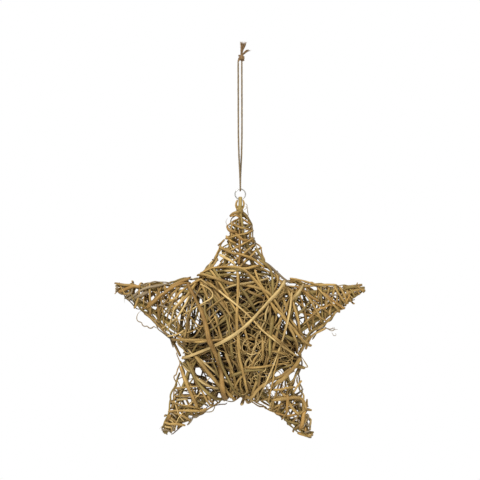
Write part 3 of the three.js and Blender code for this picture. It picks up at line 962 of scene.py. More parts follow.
@dataclass
class Winder:
    """Lays vines over the body, round the arms and along them."""

    shape: StarShape
    rng: np.random.Generator
    step: float = 2.0
    run_points: int = 22
    window: float = 15.0
    bow: float = 11.0
    body_wave: float = 1.1
    helix_wave: float = 1.3
    edge_wave: float = 2.0
    runner_wave: float = 1.5

    def __post_init__(self) -> None:
        """Tabulates the outline once."""
        self.rim = self.shape.rim()

    def edge(self, angle: np.ndarray) -> np.ndarray:
        """Distance to the outline in each direction, in degrees."""
        return at_angle(self.rim, angle)

    def wavy(self, line: np.ndarray, amount: float) -> np.ndarray:
        """Adds the slow waves of a stem that never grew straight."""
        along = np.arange(len(line))[:, None] * self.step
        result = line.copy()
        for length, share in ((31.0, 0.7), (13.0, 0.3)):
            phase = self.rng.uniform(0, 2 * np.pi, 3)
            result += amount * share * np.sin(2 * np.pi * along / length + phase)
        return result

    def run(
        self, start: float, end: float, bow: float, side: float, depth: float, inset: float
    ) -> np.ndarray:
        """One run over the body, in front or behind.

        Args:
            start: Edge direction at its start, in degrees.
            end: Edge direction at its end, in degrees.
            bow: How far the run bows sideways.
            side: FRONT or BACK.
            depth: Half thickness of the body at this layer.
            inset: How far the layer stays inside the outline.

        Returns:
            The points of the run.
        """
        ends = []
        for angle in (start, end):
            reach = float(self.edge(np.array(angle))) - inset
            ends.append(reach * arm_axes(angle)[0])
        share = (1 - np.cos(np.pi * np.linspace(0, 1, self.run_points))) / 2
        along = ends[1] - ends[0]
        across = unit(np.array([-along[2], 0.0, along[0]]))
        line = ends[0] + share[:, None] * along + (4 * bow * share * (1 - share))[:, None] * across
        out = np.hypot(line[:, 0], line[:, 2])
        rim = self.edge(np.degrees(np.arctan2(line[:, 2], line[:, 0]))) - inset
        full = np.clip(out / rim, 0, 1)
        line[:, 1] = side * depth * np.sqrt(1 - full**ROUNDNESS)
        return line

    def body_vine(self, runs: int, layer: float, radius: float, tone: Tone) -> Strand:
        """A long vine wound over the front and back in turn.

        Args:
            runs: How often it crosses the body.
            layer: Its place from the middle, 0, to the outside, 1.
            radius: Half its thickness.
            tone: Its colour.

        Returns:
            The strand.
        """
        depth = 7 + 23 * layer
        inset = 13 - 10.5 * layer + radius
        valleys = [valley[0] for valley in self.shape.valleys]
        place = int(self.rng.integers(5))
        angle = valleys[place] + self.rng.uniform(-self.window, self.window)
        side = FRONT if self.rng.random() < 0.5 else BACK
        lines = []
        for _ in range(runs):
            hop = int(self.rng.choice([1, 2, 2, 3, 3, 4]))
            place = (place + hop) % 5
            target = valleys[place] + self.rng.uniform(-self.window, self.window)
            bow = self.rng.uniform(-self.bow, self.bow)
            line = self.run(angle, target, bow, side, depth, inset)
            lines.append(line if not lines else line[1:])
            angle = target
            side = -side
        line = spaced(rounded(np.vstack(lines), 1), self.step)
        return Strand(self.wavy(line, self.body_wave), radius, tone, 1.0, layer)

    def arm_helix(
        self,
        arm: Arm,
        turns: float,
        span: tuple[float, float],
        lean: float,
        hand: int,
        layer: float,
        radius: float,
        tone: Tone,
    ) -> Strand:
        """A vine wound round an arm.

        Args:
            arm: The arm.
            turns: How often it goes round.
            span: Start and end, as shares of the reach.
            lean: How far the turns slant.
            hand: 1 or -1, the sense of the turns.
            layer: Its place from the middle, 0, to the outside, 1.
            radius: Half its thickness.
            tone: Its colour.

        Returns:
            The strand.
        """
        along, across = arm_axes(arm.angle)
        count = int(turns * 20)
        phase = self.rng.uniform(0, 2 * np.pi)
        jitter = self.rng.uniform(-0.25, 0.25, 8)
        points = []
        for index in range(count + 1):
            share = index / count
            turn = phase + hand * 2 * np.pi * turns * share
            place = arm.reach * (span[0] + (span[1] - span[0]) * share)
            inset = 5.5 - 4.0 * layer + radius
            slant = lean + 0.4 * float(np.interp(share * 7, np.arange(8), jitter))
            distance = place + slant * (self.shape.half_width(arm, place) - inset) * math.cos(turn)
            distance = min(distance, arm.reach - 2.0)
            wide = max(self.shape.half_width(arm, distance) - inset, 2.5 + radius)
            deep = max(self.shape.half_depth(arm, distance) - inset, 3.5 + radius)
            point = along * distance + across * wide * math.cos(turn)
            point[1] = deep * math.sin(turn)
            points.append(point)
        line = spaced(np.array(points), self.step)
        return Strand(self.wavy(line, self.helix_wave), radius, tone, 1.0, layer)

    def arm_edge(self, arm: Arm, edge: int, radius: float, tone: Tone) -> Strand:
        """A vine that follows one edge of an arm."""
        along, across = arm_axes(arm.angle)
        start = self.rng.uniform(0.36, 0.6)
        end = min(start + self.rng.uniform(0.25, 0.5), 0.97)
        points = []
        for place in np.linspace(start, end, 8) * arm.reach:
            wide = self.shape.half_width(arm, place) - radius - self.rng.uniform(-0.8, 3.0)
            point = along * place + across * edge * wide
            point[1] = self.rng.uniform(-0.35, 0.35) * self.shape.half_depth(arm, place)
            points.append(point)
        line = spaced(rounded(np.array(points), 2), self.step)
        return Strand(self.wavy(line, self.edge_wave), radius, tone, 0.6, 0.85)

    def arm_runner(self, arm: Arm, side: float, radius: float, tone: Tone, layer: float) -> Strand:
        """A vine that runs along an arm and crosses it on the way."""
        along, across = arm_axes(arm.angle)
        start, end = self.rng.uniform(0.18, 0.42), self.rng.uniform(0.72, 0.97)
        from_side, to_side = self.rng.uniform(-0.85, 0.85, 2)
        points = []
        for share in np.linspace(0, 1, 9):
            place = arm.reach * (start + (end - start) * share)
            aside = from_side + (to_side - from_side) * share
            wide = self.shape.half_width(arm, place) - 3.5
            deep = self.shape.half_depth(arm, place) - 2.0 - 3.5 * (1 - layer)
            point = along * place + across * wide * aside
            point[1] = side * deep * math.sqrt(1 - 0.85 * aside * aside)
            points.append(point)
        line = spaced(rounded(np.array(points), 2), self.step)
        return Strand(self.wavy(line, self.runner_wave), radius, tone, 1.0, layer)


# One strand: its thickness, tone, rank or place in depth, and its places across and up.
TracedRun = tuple[float, Tone, float, tuple[tuple[float, float], ...]]

# Vines of the front, listed one by one. The third number is the rank: the higher lies on top.
FRONT_RUNS: tuple[TracedRun, ...] = (
    (2.8, Tone.TAN, 0.97, ((-39, 57), (-27, 63), (-8, 65), (3, 63), (10, 57), (19, 47), (28, 35),
        (37, 17))),
    (2.4, Tone.OLIVE, 0.9, ((-37, 56), (-22, 60), (-8, 61), (5, 63), (22, 65))),
    (2.3, Tone.PALE, 0.98, ((-39, 52), (-22, 42), (-5, 29), (10, 16), (22, 2), (35, -8),
        (56, -24))),
    (2.8, Tone.TAN, 0.95, ((15, 62), (19, 50), (28, 35), (36, 22), (45, 13), (59, -4), (63, -11))),
    (3.0, Tone.OLIVE, 0.9, ((-12, 57), (-2, 47), (8, 35), (16, 20))),
    (2.0, Tone.PALE, 0.92, ((-21, 40), (-8, 46), (5, 48), (18, 50), (30, 53))),
    (2.2, Tone.TAN, 0.91, ((5, 42), (16, 37), (25, 33))),
    (2.8, Tone.TAN, 0.93, ((-2, 60), (-1, 47), (-2, 29), (-3, 7), (-1, -4), (-1, -21), (3, -38),
        (8, -61))),
    (2.6, Tone.OLIVE, 0.9, ((-27, 37), (-20, 27), (-13, 16), (-10, 2), (-8, -15), (-7, -27))),
    (2.4, Tone.TAN, 0.88, ((-37, 50), (-28, 40), (-12, 22), (-4, 9))),
    (2.6, Tone.OLIVE, 0.9, ((-21, -15), (-19, -30), (-12, -45), (-5, -60), (2, -64))),
    (2.4, Tone.TAN, 0.88, ((-14, -21), (-7, -37))),
    (3.5, Tone.OLIVE, 0.92, ((33, 16), (30, -4), (30, -24))),
    (3.0, Tone.TAN, 0.9, ((23, -4), (23, -30))),
    (1.8, Tone.PALE, 0.97, ((52, 39), (50, 20), (44, -4), (38, -20), (33, -35), (25, -53),
        (17, -69))),
    (1.8, Tone.TAN, 0.96, ((52, 35), (46, 7), (40.5, -15), (36, -35), (32, -53), (28.5, -70))),
    (2.5, Tone.OLIVE, 0.93, ((19.5, 71), (26, 67), (31, 62), (32.5, 56.5), (33, 48), (33, 39),
        (34, 28))),
    (2.2, Tone.TAN, 0.9, ((24, 68), (31, 64), (36, 59), (39, 53), (37, 45), (33, 38))),
    (2.2, Tone.GREY, 0.92, ((14, 76), (21, 71), (28, 67), (34, 62), (40, 56), (45, 52), (51, 48))),
    (2.0, Tone.TAN, 0.88, ((16, 66), (24, 62), (33, 57), (41, 50), (48, 43), (55, 38))),
    (1.8, Tone.OLIVE, 0.86, ((12, 58), (21, 57), (30, 57), (38, 56))),
    (2.2, Tone.TAN, 0.95, ((86, 3), (80, 0), (73, -3), (69, -9), (66, -18))),
    (1.8, Tone.OLIVE, 0.9, ((82, 6), (75, 3), (69, -1), (66, -8), (62, -14))),
    (2.0, Tone.TAN, 0.9, ((-99, 22), (-91, 16), (-83, 8), (-77, 1), (-70, -5))),
    (1.8, Tone.OLIVE, 0.88, ((-86, 22), (-82, 14), (-77, 6), (-70, 0), (-62, -4))),
    (2.6, Tone.OLIVE, 0.9, ((56, 27), (59, 9), (60, -4))),
    (2.6, Tone.TAN, 0.9, ((48, 15), (56, 5), (68, -11))),
    (4.6, Tone.TAN, 0.94, ((61, -27), (53, -37), (43, -45), (33, -54))),
    (2.6, Tone.TAN, 0.92, ((59, -24), (66, -10), (70, -4))),
    (2.6, Tone.TAN, 0.93, ((3, -35), (19, -35), (30, -33), (50, -31))),
    (2.6, Tone.OLIVE, 0.9, ((-8, -43), (10, -37), (29, -37))),
    (3.3, Tone.TAN, 0.95, ((-59, -35), (-52, -53), (-42, -75))),
    (3.0, Tone.OLIVE, 0.94, ((-53, -27), (-45, -45), (-35, -58), (-24, -67), (-17, -68))),
    (3.5, Tone.TAN, 0.93, ((-44, -23), (-30, -41), (-14, -61))),
    (2.8, Tone.TAN, 0.92, ((-62, -5), (-48, -10), (-27, -8), (-8, -6))),
    (2.8, Tone.TAN, 0.94, ((-70, 19), (-54, 32), (-41, 52))),
    (2.6, Tone.OLIVE, 0.93, ((-51, 50), (-61, 49), (-70, 45))),
    (3.5, Tone.ORANGE, 0.93, ((-49.5, 53), (-63.5, 48), (-82.5, 32), (-90.5, 26))),
    (1.5, Tone.PALE, 0.99, ((-39, 47), (-28, 42), (-25, 35), (-35, 29), (-48, 22), (-57, 16))),
    (2.2, Tone.TAN, 0.93, ((-35, 19), (-27, 26), (-17, 33), (-8, 39))),
    (2.5, Tone.TAN, 0.95, ((32, -67), (49.5, -65), (65, -71), (63.5, -85))),
    (2.4, Tone.ORANGE, 0.88, ((-0.5, 110), (0, 101), (0, 92.5), (0, 84), (0.5, 77.5), (-1, 66))),
    (3.0, Tone.ORANGE, 0.95, ((-121, 39), (-116, 41), (-110, 43.5), (-105, 45.5), (-98.5, 44))),
    (3.0, Tone.TAN, 0.9, ((-124.5, 48), (-119.5, 47), (-112.5, 46), (-105, 46))),
    (3.0, Tone.GREY, 0.96, ((-111, 32), (-104.5, 35.5), (-98, 41), (-90.5, 44), (-81.5, 45),
        (-73, 47), (-70, 46))),
    (2.8, Tone.GREY, 0.92, ((-106, 31.5), (-99, 35.5), (-93, 38.5), (-88, 39.5))),
    (3.3, Tone.ORANGE, 0.97, ((-92, 24), (-85.5, 29), (-79, 35.5), (-71.5, 41), (-64.5, 45),
        (-56.5, 48), (-50, 48))),
    (1.6, Tone.PALE, 0.98, ((-71.5, 0), (-69, 7.5), (-66.5, 16.5), (-65, 23), (-59, 30.5),
        (-55, 35.5))),
    (2.6, Tone.TAN, 0.96, ((-69.5, 29.5), (-64.5, 34), (-58, 39.5), (-51.5, 45), (-44.5, 49),
        (-37.5, 52), (-34, 54))),
    (2.2, Tone.OLIVE, 0.9, ((-104, 30.5), (-99, 23), (-94.5, 19), (-90.5, 19))),
    (2.2, Tone.TAN, 0.9, ((-91.5, 18.5), (-87, 14), (-81.5, 10), (-76.5, 5), (-73, 0))),
    (2.6, Tone.ORANGE, 0.88, ((-82, 30.5), (-81, 22), (-80, 15.5), (-79, 8.5))),
    (2.0, Tone.OLIVE, 0.92, ((-64.5, 33.5), (-68.5, 26.5), (-72.5, 20), (-77.5, 13.5),
        (-79.5, 7.5))),
    (2.0, Tone.PALE, 0.92, ((-54, 2), (-58, -1), (-64.5, -4), (-72, -5))),
    (1.5, Tone.PALE, 0.95, ((-56, 16), (-50, 19), (-44.5, 23))),
    (2.0, Tone.TAN, 0.88, ((-85.5, 43.5), (-81.5, 40), (-81.5, 34), (-87, 26))),
    (3.2, Tone.TAN, 0.96, ((-71, -80), (-65, -79), (-58.5, -79), (-51.5, -78.5), (-45, -79),
        (-38, -79.5), (-32.5, -77))),
    (1.8, Tone.PALE, 0.97, ((-65, -69), (-62.5, -75.5), (-60.5, -81.5), (-58, -87),
        (-55.5, -89.5))),
    (2.5, Tone.TAN, 0.9, ((-66, -69), (-65.5, -74), (-67, -77))),
    (2.5, Tone.ORANGE, 0.9, ((-68.5, -82.5), (-70.5, -86), (-72, -89.5))),
    (2.2, Tone.TAN, 0.92, ((-75, -90.5), (-70.5, -92.5), (-64.5, -92), (-58, -93), (-54, -94))),
    (2.5, Tone.GREY, 0.9, ((-40.5, -82.5), (-41.5, -85), (-45, -86), (-47, -85))),
    (2.0, Tone.TAN, 0.92, ((-39, -80.5), (-34.5, -80), (-31, -77), (-25.5, -74), (-20, -70.5))),
    (2.0, Tone.GREY, 0.88, ((-46.5, -86.5), (-49, -90.5), (-52, -93.5))),
    (2.5, Tone.PALE, 0.9, ((-62.5, -68.5), (-58.5, -67.5), (-51.5, -67))),
    (1.8, Tone.GREY, 0.9, ((-64.5, -58.5), (-61, -62), (-57.5, -64.5), (-51.5, -65.5))),
    (2.2, Tone.OLIVE, 0.88, ((-42, -68.5), (-37, -70.5), (-31.5, -73.5))),
    (2.8, Tone.TAN, 0.96, ((32, -68), (39, -67), (46, -66.5), (53.5, -65.5), (59, -65.5),
        (63, -68), (65, -72), (66, -77.5))),
    (2.6, Tone.ORANGE, 0.97, ((47.5, -63), (47.5, -69), (47.5, -74), (47, -80), (46.5, -82.5))),
    (3.3, Tone.TAN, 0.94, ((39.5, -58), (44.5, -63), (47, -68), (51, -74), (54.5, -78.5),
        (59, -82))),
    (2.8, Tone.TAN, 0.95, ((32.5, -57.5), (37, -57.5), (42.5, -57), (47.5, -55.5), (55, -55.5))),
    (2.6, Tone.ORANGE, 0.93, ((36, -80.5), (40.5, -82), (46, -84), (51, -83.5), (58.5, -82))),
    (2.0, Tone.OLIVE, 0.9, ((44, -84.5), (47, -89), (50.5, -93.5), (54.5, -97), (58, -100.5))),
    (2.4, Tone.OLIVE, 0.92, ((48.5, -89), (53, -90.5), (57.5, -92), (62, -92))),
    (3.4, Tone.ORANGE, 0.95, ((64.5, -77.5), (63.5, -83), (63, -89), (61.5, -93.5), (60, -96.5))),
    (2.2, Tone.GREY, 0.9, ((67, -82), (69.5, -84.5), (67.5, -88.5), (66, -91.5))),
    (2.4, Tone.GREY, 0.9, ((65, -93), (68.5, -93.5), (71, -95.5))),
    (2.8, Tone.ORANGE, 0.9, ((65.5, -95.5), (66, -101.5))),
    (2.4, Tone.TAN, 0.9, ((33.5, -76), (37, -74), (42.5, -71.5), (44.5, -71))),
    (1.6, Tone.GREY, 0.88, ((59.5, -70), (60, -76))),
    (2.4, Tone.OLIVE, 0.96, ((81, 48), (81, 38.5), (81.5, 27.5), (82.5, 16.5), (83, 6))),
    (2.8, Tone.ORANGE, 0.95, ((56, 45), (63, 41), (70.5, 34.5), (79, 30))),
    (2.8, Tone.ORANGE, 0.95, ((82.5, 38.5), (90, 33), (96.5, 27.5), (104.5, 22.5))),
    (2.0, Tone.TAN, 0.9, ((66.5, 43.5), (71, 30.5), (76.5, 21), (80.5, 16.5))),
    (1.4, Tone.PALE, 0.96, ((88, 34), (86.5, 26.5), (84.5, 19.5))),
    (2.4, Tone.TAN, 0.93, ((95, 45), (92.5, 34.5), (91, 25), (88.5, 16.5))),
    (2.0, Tone.OLIVE, 0.9, ((97.5, 38), (101.5, 29), (100, 24.5))),
    (1.2, Tone.PALE, 0.98, ((104.5, 42), (112.5, 33))),
    (2.6, Tone.TAN, 0.92, ((125, 41), (118, 42), (110, 39), (103, 35), (100.5, 29))),
    (2.6, Tone.OLIVE, 0.9, ((125, 43.5), (120, 42.5), (114, 45), (104.5, 42.5))),
    (2.4, Tone.TAN, 0.9, ((105.5, 23.5), (96.5, 20.5), (91, 13), (86.5, 9), (80.5, 3.5),
        (72.5, 1))),
    (2.4, Tone.TAN, 0.9, ((49, 45), (58.5, 44), (66.5, 45), (74.5, 46), (82.5, 46.5), (88.5, 46.5),
        (96.5, 46))),
    (1.8, Tone.GREY, 0.9, ((69.5, -2), (66.5, -9), (64.5, -15.5))),
    (2.0, Tone.ORANGE, 0.9, ((62.5, 7), (68.5, 11.5), (76.5, 16.5))),
    (3.2, Tone.TAN, 0.92, ((-9.5, 114.5), (-6, 118), (-1, 118.8), (3, 118))),
    (2.2, Tone.ORANGE, 0.96, ((-9, 114.5), (-3.5, 116), (0.5, 113), (5.5, 110.5), (11, 106.5))),
    (3.0, Tone.OLIVE, 0.9, ((1, 119), (4.5, 118), (7.5, 114.5), (10, 109.5), (12, 105.5))),
    (2.6, Tone.ORANGE, 0.92, ((-12.5, 105.5), (-11.5, 101.5), (-9, 99.5), (-4, 99), (-2, 98))),
    (2.5, Tone.TAN, 0.92, ((-13.5, 95), (-11.5, 91.5), (-7.5, 89), (-3, 87))),
    (1.6, Tone.GREY, 0.9, ((11.5, 106.5), (13, 102.5), (13, 97), (13, 92.5), (16, 89.5),
        (15, 84))),
    (2.0, Tone.OLIVE, 0.93, ((0, 101), (4.5, 102), (9, 105.5), (11.5, 106.5))),
    (2.6, Tone.ORANGE, 0.95, ((-4, 97), (0, 93.5), (4.5, 90), (9, 89.5))),
    (2.2, Tone.TAN, 0.9, ((-21.5, 85.5), (-16.5, 89.5), (-14.5, 91.5))),
    (2.4, Tone.TAN, 0.96, ((-20.5, 84.5), (-15.5, 82), (-9, 78.5), (-2, 77), (3.5, 77.5))),
    (2.6, Tone.PALE, 0.94, ((-20, 76.5), (-14.5, 73.5), (-9, 71), (-4, 66.5))),
    (3.0, Tone.TAN, 0.97, ((-2, 77), (3.5, 76), (9, 74), (14.5, 71.5), (20, 67.5), (25, 63.5))),
    (2.0, Tone.GREY, 0.95, ((3.5, 84), (8.5, 79.5), (13, 75), (17.5, 71))),
    (2.6, Tone.OLIVE, 0.92, ((15.5, 83), (19.5, 77.5), (22.5, 73), (24.5, 67), (30, 64),
        (32.5, 60))),
    (2.6, Tone.TAN, 0.92, ((-22, 73), (-24.5, 68), (-27.5, 63.5), (-33, 59.5))),
    (2.4, Tone.TAN, 0.95, ((-27.5, 63), (-18, 64.5), (-10, 63.5), (-1, 63.5), (6.5, 62.5),
        (14.5, 64.5), (19, 65.5))),
    (2.0, Tone.PALE, 0.96, ((-14.5, 60), (-7.5, 60.5), (0, 61))),
    (1.6, Tone.DARK, 0.9, ((3.5, 73.5), (3.5, 66), (5.5, 65), (13, 67.5))),
    (2.0, Tone.TAN, 1.1, ((100, 44.5), (104, 37), (107, 28))),
    (1.8, Tone.OLIVE, 1.1, ((107, 45.5), (112, 39.5), (115, 34))),
    (1.8, Tone.TAN, 1.1, ((112, 46), (117, 41.5), (120, 36.5))),
    (1.6, Tone.TAN, 1.1, ((117, 45), (121, 42), (124, 38.5))),
    (1.8, Tone.TAN, 1.1, ((-120, 48.5), (-117.5, 43), (-113, 36))),
    (1.8, Tone.OLIVE, 1.1, ((-112, 47), (-109, 39), (-104.5, 30.5))),
    (2.8, Tone.TAN, 0.92, ((40, 51), (48.5, 41), (54.3, 24.3), (58.5, 11), (60, -4))),
    (2.4, Tone.TAN, 0.93, ((61, 43), (71.5, 29.3), (78.5, 16), (81.8, 9.3))),
    (2.0, Tone.OLIVE, 0.91, ((65, 44), (56, 33), (53.5, 26), (49, 12))),
    (1.8, Tone.TAN, 0.94, ((62, 6), (73.5, 17.7), (85, 26))),
    (1.8, Tone.OLIVE, 0.92, ((55, 14), (68.5, 27.7), (77, 36))),
    (2.2, Tone.ORANGE, 0.9, ((57, 44), (63, 28), (66, 12), (70, 0))),
    (1.8, Tone.TAN, 0.92, ((-61.7, 44.3), (-67.5, 27.7), (-72.5, 11))),
    (1.8, Tone.OLIVE, 0.9, ((-55.8, 38), (-62.5, 22.7), (-70.8, 4.3))),
    (1.6, Tone.PALE, 0.93, ((-47.5, 41), (-55.8, 22.7), (-64.2, 11), (-77.5, 2.7))),
    (1.6, Tone.TAN, 0.91, ((-69, 41), (-60.8, 27.7), (-49.2, 16), (-39, 2.7))),
)

# Tendrils, curls and cut sticks. The third number is the place in depth, negative in front.
LOOSE_RUNS: tuple[TracedRun, ...] = (
    (1.9, Tone.TAN, -8.0, ((50, 53), (61.5, 51), (72, 48), (79, 45.5))),
    (1.2, Tone.OLIVE, -12.0, ((60, -22), (64.5, -29.5), (68, -35), (67.8, -35.3), (61, -35.5),
        (56, -34))),
    (2.6, Tone.TAN, -19.0, ((53.5, -60), (56.5, -54.5), (61.5, -48.0))),
    (1.7, Tone.DARK, 4.0, ((30, 54), (34.5, 58), (38.5, 60))),
    (1.6, Tone.DARK, 2.0, ((-60, 48), (-54.5, 52), (-48.5, 54))),
    (1.6, Tone.DARK, -4.0, ((-27.5, 71.5), (-22.5, 70))),
    (0.8, Tone.GREY, -6.0, ((38, 52), (42, 53), (46, 50.5), (48.5, 47), (49, 44))),
    (0.8, Tone.PALE, -8.0, ((40, 50), (43, 47), (47, 47), (49, 45))),
    (1.2, Tone.GREY, -4.0, ((-97, 21), (-101, 18.5), (-103, 13.5), (-101.5, 9.5), (-97.5, 9),
        (-97, 6), (-94.5, 4.5), (-92, 5.5), (-90.5, 3), (-87, 3), (-85.5, 5.5), (-83, 2.5),
        (-80, 6))),
    (0.9, Tone.GREY, -10.0, ((-69, 10), (-64, 8.5), (-59, 5), (-60, 1), (-65, 0.5), (-68, 4),
        (-64, 6))),
    (0.9, Tone.GREY, -10.0, ((-67, 2), (-65, 5), (-62, 4), (-61, 7), (-58, 8))),
    (1.3, Tone.GREY, -4.0, ((82, 6), (86, 3.5), (90, 1.5), (93, 3), (95, 1.5), (98, 1.8))),
    (1.2, Tone.GREY, -4.0, ((88, 2.5), (91, 0), (94.5, 1), (95.5, 3.5), (92.5, 4))),
    (1.2, Tone.GREY, -4.0, ((92, -1), (94, -5), (97, -4), (95.5, -2))),
    (0.6, Tone.GREY, -2.0, ((-115.5, 37), (-115, 33), (-114.8, 28))),
    (1.2, Tone.GREY, -9.0, ((5.5, 124), (8.3, 124.3), (7.8, 120), (9, 115.5), (7, 113))),
    (1.1, Tone.GREY, -7.0, ((5, 128), (8, 126), (7, 122), (4, 121))),
    (0.9, Tone.GREY, -6.0, ((-11.5, 113), (-14, 109.5), (-12.5, 105.5), (-8.5, 106.5))),
    (0.9, Tone.GREY, -8.0, ((3.5, 98.5), (6.5, 101), (10.5, 101), (12, 96), (10, 92.5),
        (5.5, 94.5))),
    (1.8, Tone.TAN, 0.0, ((-2, 131), (-3.4, 128), (-3.6, 125), (-2, 121))),
    (1.8, Tone.TAN, 0.0, ((3.4, 131), (4.6, 128), (4.2, 125), (2.9, 122))),
    (3.0, Tone.TAN, -4.5, ((-3.2, 122), (0, 121.4), (3.2, 122.2))),
    (2.8, Tone.OLIVE, -4.5, ((-3.8, 119.6), (0, 119), (4, 120))),
    (1.3, Tone.OLIVE, 0.0, ((-80, -97.8), (-74.3, -92.4))),
    (4.4, Tone.OLIVE, 2.0, ((-75.8, -102.3), (-71.6, -97.8), (-66, -91))),
    (3.6, Tone.TAN, 3.0, ((-65.5, -100.4), (-67, -94.2), (-65, -88))),
    (2.8, Tone.TAN, 4.0, ((-61.8, -98.6), (-60, -94), (-58, -88))),
    (3.4, Tone.TAN, -1.0, ((73.5, -103.5), (69, -104.4), (63.5, -103.5), (58, -101.5))),
    (2.8, Tone.OLIVE, 1.5, ((74.4, -101.5), (70, -101.5), (66, -97))),
    (2.4, Tone.GREY, 2.0, ((72.2, -106.5), (69, -106.5), (65, -102))),
    (3.0, Tone.TAN, 2.5, ((-124, 41), (-118, 43), (-110, 42))),
    (2.4, Tone.OLIVE, 4.0, ((-124.5, 45), (-116, 44.5), (-108, 43))),
)


@dataclass
class FrontStrands:
    """The most visible vines of the front, each in its given place."""

    shape: StarShape
    step: float = 2.0
    lift: float = 1.02
    least_depth: float = 6.0
    tuck: float = 0.28
    tuck_over: float = 9.0
    girth: float = 0.46
    low_rank: float = 0.88
    deepest_painted_shade: float = 0.72
    painted_shade_rise: float = 3.2

    def strands(self) -> list[Strand]:
        """Lays each run on the front of the star, with its ends tucked in and its lower ranks
        darker as painted shade.
        """
        made = []
        for diameter, tone, rank, run in FRONT_RUNS:
            flat = traced(run, 0.0, 2, self.step)
            count = len(flat)
            for index in range(count):
                deep = self.shape.depth_at(flat[index, 0], flat[index, 2])
                from_end = min(index, count - 1 - index) * self.step
                tucked = 0.72 + self.tuck * min(from_end / self.tuck_over, 1.0)
                flat[index, 1] = -max(deep * self.lift, self.least_depth) * tucked
            # Painted shade: strands of lower rank lie deeper and get a darker colour.
            shade = min(self.deepest_painted_shade + self.painted_shade_rise * (rank - self.low_rank), 1.0)
            radius = diameter * self.girth
            made.append(Strand(flat, radius, tone, 0.5, rank, shade, sideways=0.7))
        return made

    def behind(self, rng: np.random.Generator) -> list[Strand]:
        """Lays two out of three of the runs on the back as well, seen from behind."""
        made = []
        for index, strand in enumerate(self.strands()):
            if index % 3:
                strand.line = strand.line * np.array([-1.0, -1.0, 1.0]) + rng.uniform(-2, 2, 3)
                made.append(strand)
        return made


@dataclass
class LooseEnds:
    """Tendrils, curls and cut sticks that stand out from the winding."""

    step: float = 1.2
    pointed_up_to: float = 1.5

    def strands(self) -> list[Strand]:
        """Makes the loose ends."""
        made = []
        for diameter, tone, y, run in LOOSE_RUNS:
            blunt = diameter > self.pointed_up_to
            line = traced(run, y, 3, self.step)
            made.append(Strand(line, diameter / 2, tone, 0.0, 2.0, blunt=blunt))
        return made


@dataclass
class Curls:
    """Fine pale fibres that curl out of the winding."""

    shape: StarShape
    rng: np.random.Generator
    step: float = 1.2
    least_depth: float = 5.0
    in_front: float = 0.72
    pale: float = 0.7

    def curl(
        self, x: float, z: float, side: float, length: float, radius: float, tone: Tone
    ) -> Strand:
        """One curly fibre, started near a point of the front view."""
        deep = max(self.shape.depth_at(x, z), self.least_depth)
        count = max(int(length / self.step), 6)
        heading = self.rng.uniform(0, 2 * np.pi)
        bend = self.rng.uniform(-0.16, 0.16)
        wave = self.rng.uniform(0, 2 * np.pi)
        place = np.array([x, side * deep * 0.97, z])
        points = []
        for index in range(count):
            points.append(place.copy())
            heading += bend + 0.22 * math.sin(index * 0.55 + wave)
            place += self.step * np.array([math.cos(heading), 0.0, math.sin(heading)])
            near = max(self.shape.depth_at(place[0], place[2]), self.least_depth)
            lift = 0.94 + 0.1 * math.sin(index * 0.3 + wave)
            place[1] = side * near * lift
        return Strand(np.array(points), radius, tone, 0.0, 2.0, blunt=False)

    def strands(self, count: int) -> list[Strand]:
        """Scatters curls over the star, every second one right of the middle of its front."""
        made = []
        while len(made) < count:
            turn = self.rng.uniform(0, 360)
            out = self.rng.uniform(0.1, 0.95) * self.shape.edge(turn)
            x, z = out * math.cos(math.radians(turn)), out * math.sin(math.radians(turn))
            side = FRONT if self.rng.random() < self.in_front else BACK
            if len(made) % 2 == 0:
                x, z, side = self.rng.uniform(-4, 42), self.rng.uniform(-50, 6), FRONT
            tone = Tone.PALE if self.rng.random() < self.pale else Tone.TAN
            radius = self.rng.uniform(0.28, 0.5)
            strand = self.curl(x, z, side, self.rng.uniform(14, 46), radius, tone)
            if self.inside(strand.line):
                made.append(strand)
        return made

    def inside(self, line: np.ndarray) -> bool:
        """Tells whether a fibre stays inside the outline."""
        reach = np.hypot(line[:, 0], line[:, 2])
        angle = np.degrees(np.arctan2(line[:, 2], line[:, 0]))
        return all(far < self.shape.edge(float(turn)) - 1.0 for far, turn in zip(reach, angle))


